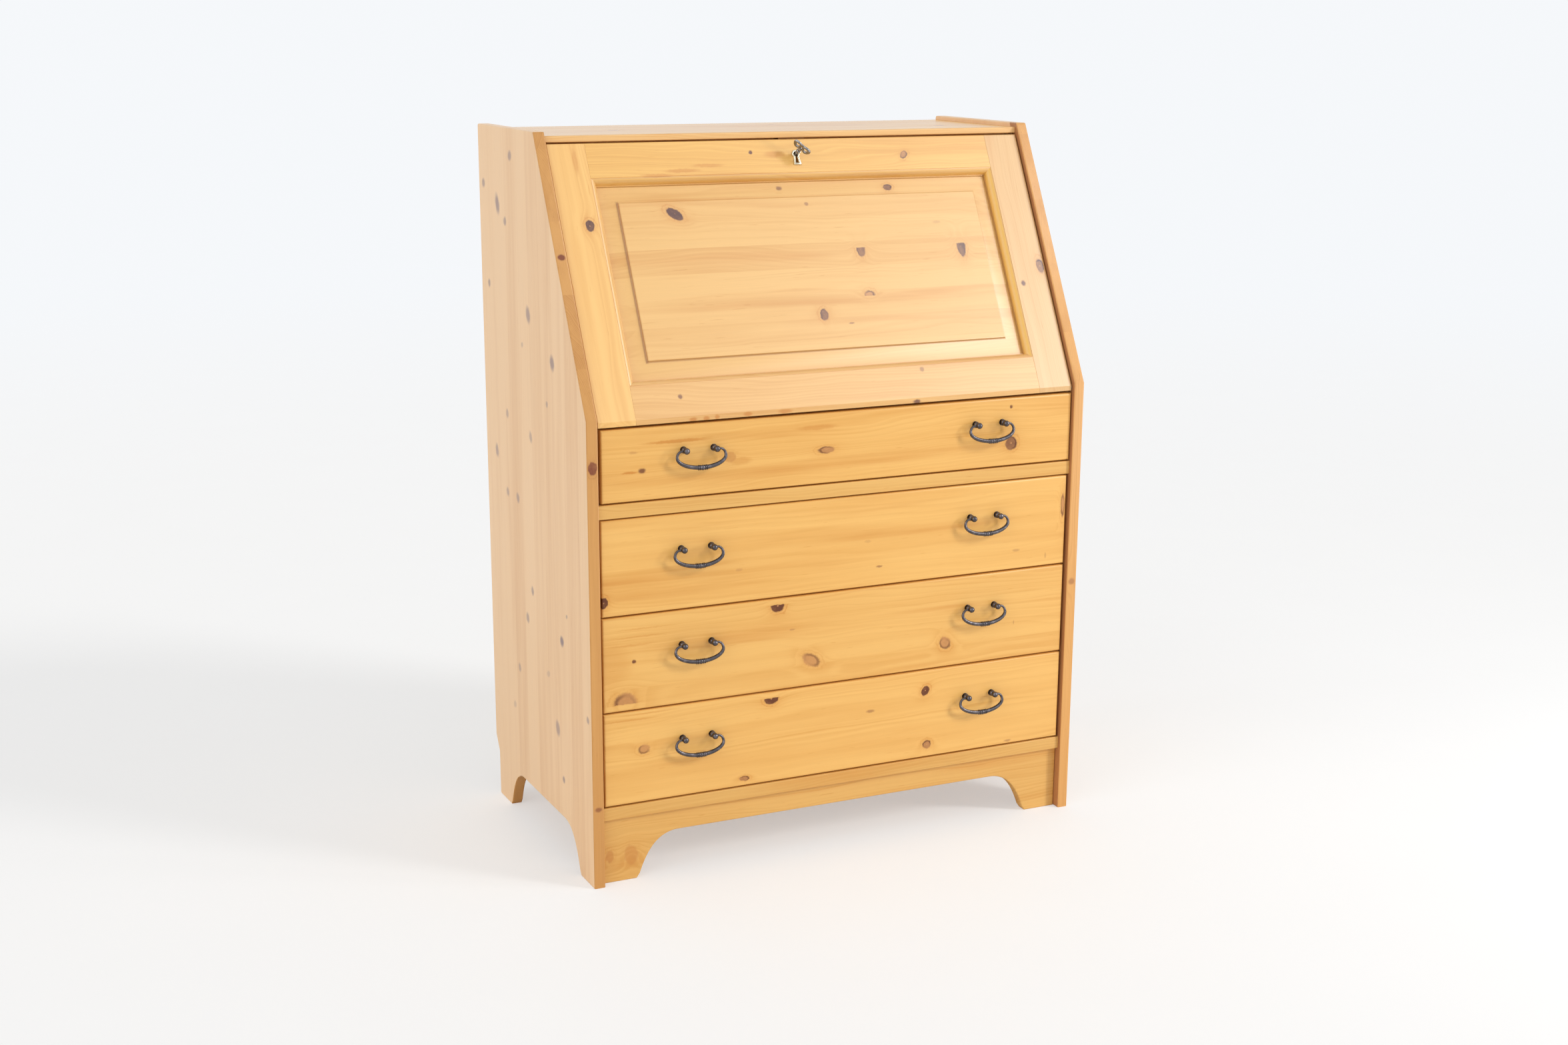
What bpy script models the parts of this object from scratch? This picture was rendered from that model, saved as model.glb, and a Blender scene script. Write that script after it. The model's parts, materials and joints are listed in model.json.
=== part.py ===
"""Pine fall-front secretary: slanted fall over four drawers, with bail pulls, lock and stays.

Metres, +Z up. The front faces -Y, and the origin is under the middle of the outline on the floor.
Depths named *_back are measured from the front edges of the side boards towards the back.
"""

import math

import bmesh
import bpy
from mathutils import Matrix, Vector

# Whole piece
WIDTH = 0.850
DEPTH = 0.475
HEIGHT = 1.124
TOP_DEPTH = 0.2693
GAP = 0.0003

# Side boards
SIDE_T = 0.018
TOP_CORNER_R = 0.004
ARCH_RISE = 0.070
FOOT_L = 0.0588
SKIRTING_NOTCH_D = 0.0165
SKIRTING_NOTCH_H = 0.076
SKIRTING_NOTCH_EASE = 0.027

# Foot curve, along the floor and up, from the toe of a foot to the level of the arch
TOE_W = 0.0055
TOE_H = 0.0075
CURVE_W = 0.071
CURVE_STEEP_W = 0.017
CURVE_STEEP_SHARE = 0.57
CURVE_LEVEL_W = 0.034
CURVE_STEPS = 7

# Carcass boards
RECESS = 0.006
PLINTH_H = 0.1045
PLINTH_T = 0.018
PLINTH_SET_BACK = 0.014
PLINTH_FOOT_W = 0.0565
BOTTOM_T = 0.0205
SHELF_T = 0.0212
DESK_T = 0.018
BACK_T = 0.006
BACK_INSET = 0.006
TOP_DROP = 0.0066
TOP_T = 0.018
TOP_LIP_T = 0.0098
TOP_FRONT_INSET = 0.003

# Pigeonholes over the desk board
GALLERY_D = 0.163
GALLERY_H = 0.150
GALLERY_SHELF_T = 0.012
GALLERY_DIVIDER_T = 0.010
GALLERY_DIVIDER_INSET = 0.010

# Drawers, counted from the top
LARGE_DRAWER_H = 0.1478
SMALL_DRAWER_H = 0.110
DRAWER_GAP = 0.0018
DRAWER_SIDE_CLEAR = 0.004
DRAWER_FRONT_T = 0.020
DRAWER_EDGE_R = 0.0015
SMALL_DRAWER_SHIFT = 0.0025
BOX_CLEAR = 0.004
BOX_SIDE_T = 0.012
BOX_TOP_DROP = 0.012
BOX_BACK_CLEAR = 0.008
BOX_BOTTOM_T = 0.005
BOX_BOTTOM_RAISE = 0.008
BOX_GROOVE_D = 0.006
RUNNER_W = 0.016
RUNNER_H = 0.016
RUNNER_RAISE = 0.006
RUNNER_FRONT_CLEAR = 0.004

# Fall
FALL_GAP = 0.0034
FALL_SIDE_CLEAR = 0.0025
FALL_TOP_CLEAR = 0.0025
FALL_BACK_CLEAR = 0.0008
FALL_T = 0.020
BAND_H = 0.008
BEND_RISE = 0.004
STILE_W = 0.0595
TOP_RAIL_W = 0.0547
BOTTOM_RAIL_W = 0.052
STICKING_W = 0.0105
STICKING_D = 0.0125
STICKING_OVERCUT = 0.00125
TONGUE_T = 0.0046
TONGUE_L = 0.0075
GROOVE_SPARE = 0.0005
FIELD_MARGIN = 0.0385
FIELD_D = 0.0062
FIELD_STEP = 0.003

# Pivot pins of the fall, behind the lower band
PIVOT_BACK = 0.005
PIVOT_RISE = 0.0042
PIN_R = 0.0025
PIN_CLEAR = 0.0003
PIN_IN_STILE = 0.020
PIN_IN_SIDE = 0.008

# Lock, key and keyhole plate
KEY_DROP = 0.0246
LOCK_W = 0.060
LOCK_H = 0.0345
LOCK_T = 0.0092
BOLT_W = 0.020
BOLT_T = 0.005
BOLT_L = 0.0205
BOLT_TRAVEL = 0.012
BOLT_CLEAR = 0.0003
BOLT_INNER_WALL = 0.0012
KEEPER_W = 0.044
KEEPER_T = 0.0015
KEEPER_EDGE = 0.002
KEY_SHANK_R = 0.0022
KEY_HOLE_R = 0.0032
KEY_SLOT_W = 0.004
KEY_SLOT_L = 0.0105
KEY_OUT = 0.0245
KEY_BIT_L = 0.0085
KEY_BIT_T = 0.0024
KEY_BIT_DEPTH = 0.0018
KEY_BIT_ROOM = 0.0006
KEY_COLLAR_R = 0.0036
KEY_COLLAR_L = 0.0045
KEY_BOW_W = 0.0125
KEY_BOW_H = 0.0078
KEY_BOW_T = 0.0026
KEY_BOW_ROOT = 0.003
KEY_BOW_EYE_R = 0.0038
KEY_BOW_EYE_OUT = 0.0067
KEY_TURN = math.radians(45)
PLATE_HEAD_R = 0.0062
PLATE_FOOT_W = 0.0125
PLATE_FOOT_L = 0.0165
PLATE_WAIST_W = 0.0082
PLATE_RIM = 0.0022
PLATE_T = 0.0016

# Stays of the fall: a bar on the fall whose far pin runs in a curved track on the side board
STAY_FALL_L = 0.150
STAY_STAND_OFF = 0.010
STAY_L = 0.272
STAY_CLOSED = math.radians(-17.8)
STAY_OPEN = math.radians(24.4)
STAY_BAR_W = 0.012
STAY_BAR_T = 0.002
STAY_PIN_R = 0.002
STAY_SLOT_CLEAR = 0.0006
STAY_INSET = 0.0045
TRACK_W = 0.018
TRACK_T = 0.0025
TRACK_STEPS = 14
BRACKET_W = 0.006
BRACKET_L = 0.024

# Bail pulls
PULL_INSET = 0.15775
SMALL_PULL_SHIFT = 0.0030
LARGE_PULL_SHIFT = -0.0017
SMALL_PULL_RISE = 0.0717
LARGE_PULL_RISE = 0.0943
POST_SPACING = 0.049
POST_ROOT = 0.005
POST_SHANK_R = 0.0032
POST_SHANK_IN = 0.0005
POST_FOOT_R = 0.0050
POST_BASE_R = 0.0056
POST_BASE_OUT = 0.0042
POST_BASE_TOP = 0.0079
POST_NECK_R = 0.0040
POST_BALL_R = 0.0050
POST_NECK_OUT = 0.0105
POST_OUT = 0.0195
POST_STEPS = 10
BAIL_HALF_W = 0.0392
BAIL_DROP = 0.0256
BAIL_BOW = 0.0055
BAIL_BOW_POWER = 1.5
BAIL_END_R = 0.0016
BAIL_MIDDLE_R = 0.0032
BAIL_HOLE_R = 0.0021
BAIL_SHOULDER_DROP = 0.0098
BAIL_STEPS = 10

# Worked out from the sizes above
INNER = WIDTH / 2 - SIDE_T
PULL_SPREAD = 2 * (INNER - PULL_INSET)
FITTED = INNER - GAP
PULL_PROUD = POST_OUT - RECESS
FRONT = -(DEPTH - PULL_PROUD) / 2
BACK = FRONT + DEPTH
BACK_PANEL_Y = BACK - BACK_INSET - BACK_T
BOARD_BACK = BACK_PANEL_Y - GAP
FACE = FRONT + RECESS
BOTTOM_TOP = PLINTH_H + BOTTOM_T
DRAWER_4_Z = BOTTOM_TOP + DRAWER_GAP
DRAWER_3_Z = DRAWER_4_Z + LARGE_DRAWER_H + DRAWER_GAP
DRAWER_2_Z = DRAWER_3_Z + LARGE_DRAWER_H + DRAWER_GAP
SHELF_Z = DRAWER_2_Z + LARGE_DRAWER_H + DRAWER_GAP
SHELF_TOP = SHELF_Z + SHELF_T
DRAWER_1_Z = SHELF_TOP + DRAWER_GAP
BAND_Z = DRAWER_1_Z + SMALL_DRAWER_H + FALL_GAP
FALL_Z = BAND_Z + BAND_H
BEND_Z = FALL_Z + BEND_RISE
SETBACK = DEPTH - TOP_DEPTH
SLANT = math.atan2(SETBACK, HEIGHT - BEND_Z)
SIN = math.sin(SLANT)
COS = math.cos(SLANT)
OPEN_ANGLE = math.pi / 2 + SLANT
TOP_Z = HEIGHT - TOP_DROP
LIP_Z = TOP_Z - TOP_LIP_T
FALL_L = (LIP_Z - FALL_TOP_CLEAR - FALL_Z) / COS
FALL_HALF_W = INNER - FALL_SIDE_CLEAR
OPENING_X = FALL_HALF_W - STILE_W
OPENING_TOP = FALL_L - TOP_RAIL_W
PIVOT = Vector((0.0, FACE + PIVOT_BACK, BAND_Z + PIVOT_RISE))
KEY_S = FALL_L - KEY_DROP
LOCK_DEPTH = FALL_T - LOCK_T - GAP
BOLT_DEPTH = FALL_T - BOLT_INNER_WALL - BOLT_T - BOLT_CLEAR

# The fall lies in a frame of its own: across, up the slope, and out of its face
FALL_FRAME = Matrix(((1, 0, 0, 0), (0, SIN, -COS, FACE), (0, COS, SIN, FALL_Z), (0, 0, 0, 1)))
# Outlines in depth and height for boards that stand front to back, or in width and height for fronts
SIDE_FRAME = Matrix(((0, 0, 1, 0), (1, 0, 0, FRONT), (0, 1, 0, 0), (0, 0, 0, 1)))
FRONT_FRAME = Matrix(((1, 0, 0, 0), (0, 0, -1, FRONT), (0, 1, 0, 0), (0, 0, 0, 1)))

PART_NAME = "fall_front_secretary"


def clear_scene():
    for obj in list(bpy.data.objects):
        bpy.data.objects.remove(obj, do_unlink=True)


def collection(name):
    made = bpy.data.collections.new(name)
    bpy.context.scene.collection.children.link(made)
    return made


def material(name, colour, roughness, metallic):
    made = bpy.data.materials.new(name)
    made.use_nodes = True
    shader = made.node_tree.nodes["Principled BSDF"]
    shader.inputs["Base Color"].default_value = (*colour, 1.0)
    shader.inputs["Roughness"].default_value = roughness
    shader.inputs["Metallic"].default_value = metallic
    return made


clear_scene()
PARTS = collection(PART_NAME)
CUTTERS = collection("cutters")
PINE = material("honey_pine", (0.80, 0.46, 0.15), 0.38, 0.0)
SIDE_PINE = material("pale_pine", (0.80, 0.54, 0.30), 0.42, 0.0)
INNER_PINE = material("bare_pine", (0.80, 0.62, 0.38), 0.6, 0.0)
PLYWOOD = material("plywood", (0.66, 0.48, 0.28), 0.65, 0.0)
PEWTER = material("dark_pewter", (0.16, 0.15, 0.15), 0.35, 1.0)
STEEL = material("bright_steel", (0.60, 0.59, 0.58), 0.3, 1.0)
BRASS = material("pale_brass", (0.80, 0.74, 0.55), 0.3, 1.0)


def joint_empty(name, place, parent=None):
    """Empty on a joint's axis, which the moving pieces hang from."""
    empty = bpy.data.objects.new(name, None)
    empty.location = place
    PARTS.objects.link(empty)
    bpy.context.view_layer.update()
    if parent:
        hang(empty, parent)
    return empty


def hang(obj, parent):
    obj.parent = parent
    bpy.context.view_layer.update()
    obj.matrix_parent_inverse = parent.matrix_world.inverted()
    bpy.context.view_layer.update()


def add(name, mesh, finish=None, parent=None):
    """Object of a mesh that is already in place; without a finish it is a cutter."""
    obj = bpy.data.objects.new(name, mesh)
    if finish is None:
        CUTTERS.objects.link(obj)
        obj.hide_render = True
        obj.display_type = "WIRE"
        return obj
    mesh.materials.clear()
    mesh.materials.append(finish)
    PARTS.objects.link(obj)
    if parent:
        hang(obj, parent)
    return obj


def mesh_from(bm, name):
    bmesh.ops.recalc_face_normals(bm, faces=bm.faces)
    mesh = bpy.data.meshes.new(name)
    bm.to_mesh(mesh)
    bm.free()
    return mesh


def box_mesh(name, low, high, frame=None):
    bm = bmesh.new()
    bmesh.ops.create_cube(bm, size=1.0)
    low, high = Vector(low), Vector(high)
    bmesh.ops.scale(bm, vec=high - low, verts=bm.verts)
    bmesh.ops.translate(bm, vec=(low + high) / 2, verts=bm.verts)
    if frame:
        bm.transform(frame)
    return mesh_from(bm, name)


def box(name, low, high, finish=None, parent=None, frame=None):
    return add(name, box_mesh(name, low, high, frame), finish, parent)


def rod_mesh(name, start, end, radius, sides=16):
    """Round bar between two points."""
    start, end = Vector(start), Vector(end)
    bm = bmesh.new()
    bmesh.ops.create_cone(
        bm, cap_ends=True, segments=sides, radius1=radius, radius2=radius, depth=(end - start).length
    )
    turn = Vector((0, 0, 1)).rotation_difference(end - start).to_matrix().to_4x4()
    bm.transform(Matrix.Translation((start + end) / 2) @ turn)
    return mesh_from(bm, name)


def evaluated_mesh(obj, name):
    """Mesh of a curve or a modified object, welded, with the object taken away."""
    graph = bpy.context.evaluated_depsgraph_get()
    mesh = bpy.data.meshes.new_from_object(obj.evaluated_get(graph))
    mesh.name = name
    mesh.transform(obj.matrix_world)
    bpy.data.objects.remove(obj, do_unlink=True)
    bm = bmesh.new()
    bm.from_mesh(mesh)
    bmesh.ops.remove_doubles(bm, verts=bm.verts, dist=1e-6)
    bm.to_mesh(mesh)
    bm.free()
    return mesh


def plate_mesh(name, outlines, thickness, frame, lift=0.0):
    """Flat outlines, the later ones as holes, extruded about the plane that lies lift above the frame."""
    data = bpy.data.curves.new(name, "CURVE")
    data.dimensions = "2D"
    data.fill_mode = "BOTH"
    data.extrude = thickness / 2
    for outline in outlines:
        spline = data.splines.new("POLY")
        spline.points.add(len(outline) - 1)
        for point, (u, v) in zip(spline.points, outline):
            point.co = (u, v, 0.0, 1.0)
        spline.use_cyclic_u = True
    obj = bpy.data.objects.new(name, data)
    obj.matrix_world = frame @ Matrix.Translation((0, 0, lift))
    CUTTERS.objects.link(obj)
    bpy.context.view_layer.update()
    return evaluated_mesh(obj, name)


def plate(name, outlines, thickness, frame, lift=0.0, finish=None, parent=None):
    return add(name, plate_mesh(name, outlines, thickness, frame, lift), finish, parent)


def loft_mesh(name, levels, frame):
    """Rectangles stacked along the frame's third axis: (height, x0, x1, y0, y1) from the lowest up."""
    bm = bmesh.new()
    rings = []
    for height, x0, x1, y0, y1 in levels:
        corners = ((x0, y0), (x1, y0), (x1, y1), (x0, y1))
        rings.append([bm.verts.new((x, y, height)) for x, y in corners])
    bm.faces.new(rings[0])
    bm.faces.new(rings[-1])
    for lower, upper in zip(rings, rings[1:]):
        for i in range(4):
            j = (i + 1) % 4
            bm.faces.new((lower[i], lower[j], upper[j], upper[i]))
    bm.transform(frame)
    return mesh_from(bm, name)


def boolean(obj, other, operation="DIFFERENCE"):
    modifier = obj.modifiers.new(f"{operation.lower()}_{other.name}", "BOOLEAN")
    modifier.operation = operation
    modifier.solver = "EXACT"
    modifier.object = other


def round_edges(obj, width):
    modifier = obj.modifiers.new("eased_edges", "BEVEL")
    modifier.width = width
    modifier.segments = 1
    modifier.limit_method = "ANGLE"


def arc(centre, radius, start, end, steps):
    """Points on a circle from one angle to another."""
    angles = [start + (end - start) * i / steps for i in range(steps + 1)]
    return [(centre[0] + radius * math.cos(a), centre[1] + radius * math.sin(a)) for a in angles]


def foot_curve(rise):
    """Half of a foot cut-out: a toe, then one cubic curve that levels out at the arch."""
    steep = (CURVE_STEEP_W, CURVE_STEEP_SHARE * rise)
    handles = ((TOE_W, TOE_H), steep, (CURVE_LEVEL_W, rise), (CURVE_W, rise))
    points = [(0.0, 0.0)]
    for i in range(CURVE_STEPS + 1):
        t = i / CURVE_STEPS
        weights = ((1 - t) ** 3, 3 * t * (1 - t) ** 2, 3 * t * t * (1 - t), t**3)
        points.append(tuple(sum(w * h[k] for w, h in zip(weights, handles)) for k in (0, 1)))
    return points


def side_outline():
    """Side board, front edge first: slanted top front, skirting notch at the back, arch between the feet."""
    centre_back = SETBACK + TOP_CORNER_R * math.tan(math.pi / 4 - SLANT / 2)
    rounded = arc(
        (centre_back, HEIGHT - TOP_CORNER_R), TOP_CORNER_R, math.pi - SLANT, math.pi / 2, 4
    )
    foot = foot_curve(ARCH_RISE)
    back_foot = DEPTH - SKIRTING_NOTCH_D - FOOT_L
    notch = [
        (DEPTH, SKIRTING_NOTCH_H + SKIRTING_NOTCH_EASE),
        (DEPTH - SKIRTING_NOTCH_D, SKIRTING_NOTCH_H),
        (DEPTH - SKIRTING_NOTCH_D, 0.0),
    ]
    rear = [(back_foot - u, v) for u, v in foot]
    front = [(FOOT_L + u, v) for u, v in reversed(foot)]
    return [(0.0, 0.0), (0.0, BEND_Z), *rounded, (DEPTH, HEIGHT), *notch, *rear, *front]


def make_sides():
    for name, hand in (("left_side", -1), ("right_side", 1)):
        middle = hand * (WIDTH / 2 - SIDE_T / 2)
        side = plate(name, [side_outline()], SIDE_T, SIDE_FRAME, middle, SIDE_PINE)
        hole = rod_mesh(
            f"{name}_pin_hole",
            PIVOT + Vector((hand * (INNER - PIN_IN_SIDE), 0, 0)),
            PIVOT + Vector((hand * (INNER + PIN_IN_SIDE + GAP), 0, 0)),
            PIN_R + PIN_CLEAR,
        )
        boolean(side, add(f"{name}_pin_hole", hole))


def fall_plane_back(z, depth):
    """Depth from the front edges, at a height, of the plane that lies depth inside the fall's face."""
    return RECESS + (z - FALL_Z) * math.tan(SLANT) + depth / COS


def make_top_board():
    """Top board, with a lip over the top edge of the fall and a shoulder that the fall closes against."""
    lip_front = fall_plane_back(LIP_Z, 0.0) + TOP_FRONT_INSET
    under = TOP_Z - TOP_T
    stop = FALL_T + FALL_BACK_CLEAR
    section = [
        (lip_front, TOP_Z),
        (lip_front, LIP_Z),
        (fall_plane_back(LIP_Z, stop), LIP_Z),
        (fall_plane_back(under, stop), under),
        (DEPTH, under),
        (DEPTH, TOP_Z),
    ]
    board = plate("top_board", [section], 2 * FITTED, SIDE_FRAME, 0.0, PINE)
    half = BOLT_W / 2 + 4 * BOLT_CLEAR
    mortise = box_mesh(
        "bolt_mortise",
        (-half, FALL_L, -(BOLT_DEPTH + BOLT_T + 4 * BOLT_CLEAR)),
        (half, FALL_L + BOLT_TRAVEL + 4 * BOLT_CLEAR, -(BOLT_DEPTH - 4 * BOLT_CLEAR)),
        FALL_FRAME,
    )
    boolean(board, add("bolt_mortise", mortise))


def make_carcass_boards():
    box("fixed_shelf", (-FITTED, FACE, SHELF_Z), (FITTED, BOARD_BACK, SHELF_TOP), PINE)
    box("bottom_board", (-FITTED, FACE, PLINTH_H), (FITTED, BOARD_BACK, BOTTOM_TOP), PINE)
    desk_top = open_writing_height()
    desk_under = desk_top - DESK_T
    stop = FALL_T + FALL_BACK_CLEAR
    section = [
        (fall_plane_back(desk_under, stop), desk_under),
        (BOARD_BACK - FRONT, desk_under),
        (BOARD_BACK - FRONT, desk_top),
        (fall_plane_back(desk_top, stop), desk_top),
    ]
    plate("desk_board", [section], 2 * FITTED, SIDE_FRAME, 0.0, INNER_PINE)
    box(
        "back_panel",
        (-FITTED, BACK_PANEL_Y, PLINTH_H),
        (FITTED, BACK_PANEL_Y + BACK_T, TOP_Z - TOP_T - GAP),
        PLYWOOD,
    )
    foot = foot_curve(ARCH_RISE)
    half = FITTED
    right = [(half - PLINTH_FOOT_W - u, v) for u, v in foot]
    left = [(-x, z) for x, z in reversed(right)]
    outline = [(half, PLINTH_H - GAP), (half, 0.0), *right, *left, (-half, 0.0), (-half, PLINTH_H - GAP)]
    plate("plinth", [outline], PLINTH_T, FRONT_FRAME, -(PLINTH_SET_BACK + PLINTH_T / 2), PINE)


def open_writing_height():
    """Height of the fall's inner face when it lies level, which the desk board's top continues."""
    pivot_depth = PIVOT_BACK * COS + (BAND_H - PIVOT_RISE) * SIN
    return PIVOT.z + FALL_T - pivot_depth


def make_gallery():
    desk_top = open_writing_height()
    shelf_z = desk_top + GALLERY_H
    shelf_front = BOARD_BACK - GALLERY_D
    box(
        "gallery_shelf",
        (-FITTED, shelf_front, shelf_z),
        (FITTED, BOARD_BACK, shelf_z + GALLERY_SHELF_T),
        INNER_PINE,
    )
    box(
        "gallery_divider",
        (-GALLERY_DIVIDER_T / 2, shelf_front + GALLERY_DIVIDER_INSET, desk_top + GAP),
        (GALLERY_DIVIDER_T / 2, BOARD_BACK, shelf_z - GAP),
        INNER_PINE,
    )


def turned_post_mesh(name):
    """Baluster post along +Z from the drawer face: base, ball, neck and front ball, as one profile."""
    ball_at = POST_OUT - POST_BALL_R
    ball_angles = [math.pi * i / 6 for i in range(1, 5)]
    profile = [
        (0.0, POST_OUT),
        *((POST_BALL_R * math.sin(a), ball_at + POST_BALL_R * math.cos(a)) for a in ball_angles),
        (POST_NECK_R, POST_NECK_OUT),
        (POST_NECK_R, POST_BASE_TOP),
        (POST_BASE_R, POST_BASE_OUT),
        (POST_FOOT_R, 0.0),
        (POST_SHANK_R, -POST_SHANK_IN),
        (POST_SHANK_R, -POST_ROOT),
        (0.0, -POST_ROOT),
    ]
    mesh = bpy.data.meshes.new(name)
    edges = [(i, i + 1) for i in range(len(profile) - 1)]
    mesh.from_pydata([(r, 0.0, z) for r, z in profile], edges, [])
    obj = bpy.data.objects.new(name, mesh)
    CUTTERS.objects.link(obj)
    screw = obj.modifiers.new("turned", "SCREW")
    screw.steps = POST_STEPS
    screw.render_steps = POST_STEPS
    screw.use_merge_vertices = True
    screw.merge_threshold = 1e-5
    bpy.context.view_layer.update()
    return evaluated_mesh(obj, name)


def joined_copies(name, mesh, frames):
    """One mesh of the same shape at several places."""
    bm = bmesh.new()
    for frame in frames:
        copy = mesh.copy()
        copy.transform(frame)
        bm.from_mesh(copy)
        bpy.data.meshes.remove(copy)
    return mesh_from(bm, name)


def bail_mesh(name):
    """Swelling bail in its own frame: ends turned in towards the posts, hanging down -Z and bowed to -Y."""
    half_post = POST_SPACING / 2
    shoulder = half_post + POST_NECK_R + BAIL_END_R
    lower = BAIL_DROP - BAIL_SHOULDER_DROP
    bend = [
        (-shoulder - (BAIL_HALF_W - shoulder) * math.sin(a), BAIL_SHOULDER_DROP * (math.cos(a) - 1))
        for a in (0.0, math.pi / 6, math.pi / 3)
    ]
    bow = [
        (-BAIL_HALF_W * math.cos(a), -BAIL_SHOULDER_DROP - lower * math.sin(a))
        for a in (math.pi * i / BAIL_STEPS for i in range(BAIL_STEPS + 1))
    ]
    mirrored_bend = [(-x, z) for x, z in reversed(bend)]
    path = [(-half_post, 0.0), *bend, *bow, *mirrored_bend, (half_post, 0.0)]
    data = bpy.data.curves.new(name, "CURVE")
    data.dimensions = "3D"
    data.bevel_depth = 1.0
    data.bevel_resolution = 1
    data.use_fill_caps = True
    spline = data.splines.new("POLY")
    spline.points.add(len(path) - 1)
    for point, (x, z) in zip(spline.points, path):
        share = min(1.0, -z / BAIL_DROP)
        point.co = (x, -BAIL_BOW * share**BAIL_BOW_POWER, z, 1.0)
        point.radius = BAIL_END_R + (BAIL_MIDDLE_R - BAIL_END_R) * share**2
    obj = bpy.data.objects.new(name, data)
    CUTTERS.objects.link(obj)
    bpy.context.view_layer.update()
    return evaluated_mesh(obj, name)


def make_pulls(number, front, slide, pull_z, shift):
    """Posts joined to a drawer front, and a bail between each pair on its own axis."""
    post = turned_post_mesh("post")
    outwards = Matrix(((1, 0, 0, 0), (0, 0, -1, 0), (0, 1, 0, 0), (0, 0, 0, 1)))
    places = [
        Vector((shift + side * PULL_SPREAD / 2 + end * POST_SPACING / 2, FACE, pull_z))
        for side in (-1, 1)
        for end in (-1, 1)
    ]
    frames = [Matrix.Translation(place) @ outwards for place in places]
    posts = add(f"drawer_{number}_posts", joined_copies("posts", post, frames))
    boolean(front, posts, "UNION")
    holes = bmesh.new()
    for place, end in zip(places, (-1, 1, -1, 1)):
        neck = place + Vector((0, -POST_NECK_OUT, 0))
        outer = neck + Vector((2 * end * POST_NECK_R, 0, 0))
        inner = neck - Vector((end * 2 * BAIL_HOLE_R, 0, 0))
        rod = rod_mesh("hole", inner, outer, BAIL_HOLE_R, 10)
        holes.from_mesh(rod)
        bpy.data.meshes.remove(rod)
    boolean(front, add(f"drawer_{number}_bail_holes", mesh_from(holes, "bail_holes")))
    for side, word in ((-1, "left"), (1, "right")):
        centre = Vector((shift + side * PULL_SPREAD / 2, FACE - POST_NECK_OUT, pull_z))
        axis = joint_empty(f"bail_{number}_{word}_axis", centre, slide)
        mesh = bail_mesh(f"bail_{number}_{word}")
        mesh.transform(Matrix.Translation(centre))
        add(f"bail_{number}_{word}", mesh, PEWTER, axis)


def make_drawer(number, low, high, seat, shift, pull_rise, pull_shift):
    """One drawer: front with pulls, two sides, back and a bottom that slides in their grooves."""
    slide = joint_empty(f"drawer_{number}_slide", (shift, FACE, low))
    half = INNER - DRAWER_SIDE_CLEAR
    inner_face = FACE + DRAWER_FRONT_T
    front = box(
        f"drawer_{number}_front", (shift - half, FACE, low), (shift + half, inner_face, high), PINE, slide
    )
    round_edges(front, DRAWER_EDGE_R)
    make_pulls(number, front, slide, low + pull_rise, pull_shift)
    box_z = seat + GAP
    box_top = high - BOX_TOP_DROP
    outer = INNER - BOX_CLEAR
    inner = outer - BOX_SIDE_T
    box_front = inner_face + GAP
    box_back = BOARD_BACK - BOX_BACK_CLEAR
    bottom_z = box_z + BOX_BOTTOM_RAISE
    reach = inner + BOX_GROOVE_D
    bottom_low = (shift - reach, inner_face - BOX_GROOVE_D, bottom_z)
    bottom_high = (shift + reach, box_back, bottom_z + BOX_BOTTOM_T)
    box(f"drawer_{number}_bottom", bottom_low, bottom_high, PLYWOOD, slide)
    spare = Vector((GAP, GAP, GAP))
    past_back = Vector((0, BOX_SIDE_T, 0))
    groove = box(
        f"drawer_{number}_groove", Vector(bottom_low) - spare, Vector(bottom_high) + spare + past_back
    )
    boolean(front, groove)
    for side, word in ((-1, "left"), (1, "right")):
        faces = sorted((shift + side * inner, shift + side * outer))
        wall = box(
            f"drawer_{number}_{word}_side",
            (faces[0], box_front, box_z),
            (faces[1], box_back, box_top),
            INNER_PINE,
            slide,
        )
        boolean(wall, groove)
    box(
        f"drawer_{number}_back",
        (shift - inner + GAP, box_back - BOX_SIDE_T, bottom_z + BOX_BOTTOM_T + GAP),
        (shift + inner - GAP, box_back, box_top),
        INNER_PINE,
        slide,
    )


def make_runners(number, seat):
    for side, word in ((-1, "left"), (1, "right")):
        faces = sorted((side * FITTED, side * (FITTED - RUNNER_W)))
        box(
            f"runner_{number}_{word}",
            (faces[0], FACE + DRAWER_FRONT_T + RUNNER_FRONT_CLEAR, seat - RUNNER_H),
            (faces[1], BOARD_BACK, seat),
            INNER_PINE,
        )


def make_drawers():
    small = (SMALL_PULL_RISE, SMALL_PULL_SHIFT)
    large = (LARGE_PULL_RISE, LARGE_PULL_SHIFT)
    make_drawer(1, DRAWER_1_Z, DRAWER_1_Z + SMALL_DRAWER_H, SHELF_TOP, SMALL_DRAWER_SHIFT, *small)
    for number, low in ((2, DRAWER_2_Z), (3, DRAWER_3_Z)):
        seat = low + RUNNER_RAISE
        make_runners(number, seat)
        make_drawer(number, low, low + LARGE_DRAWER_H, seat, 0.0, *large)
    make_drawer(4, DRAWER_4_Z, DRAWER_4_Z + LARGE_DRAWER_H, BOTTOM_TOP, 0.0, *large)


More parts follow.
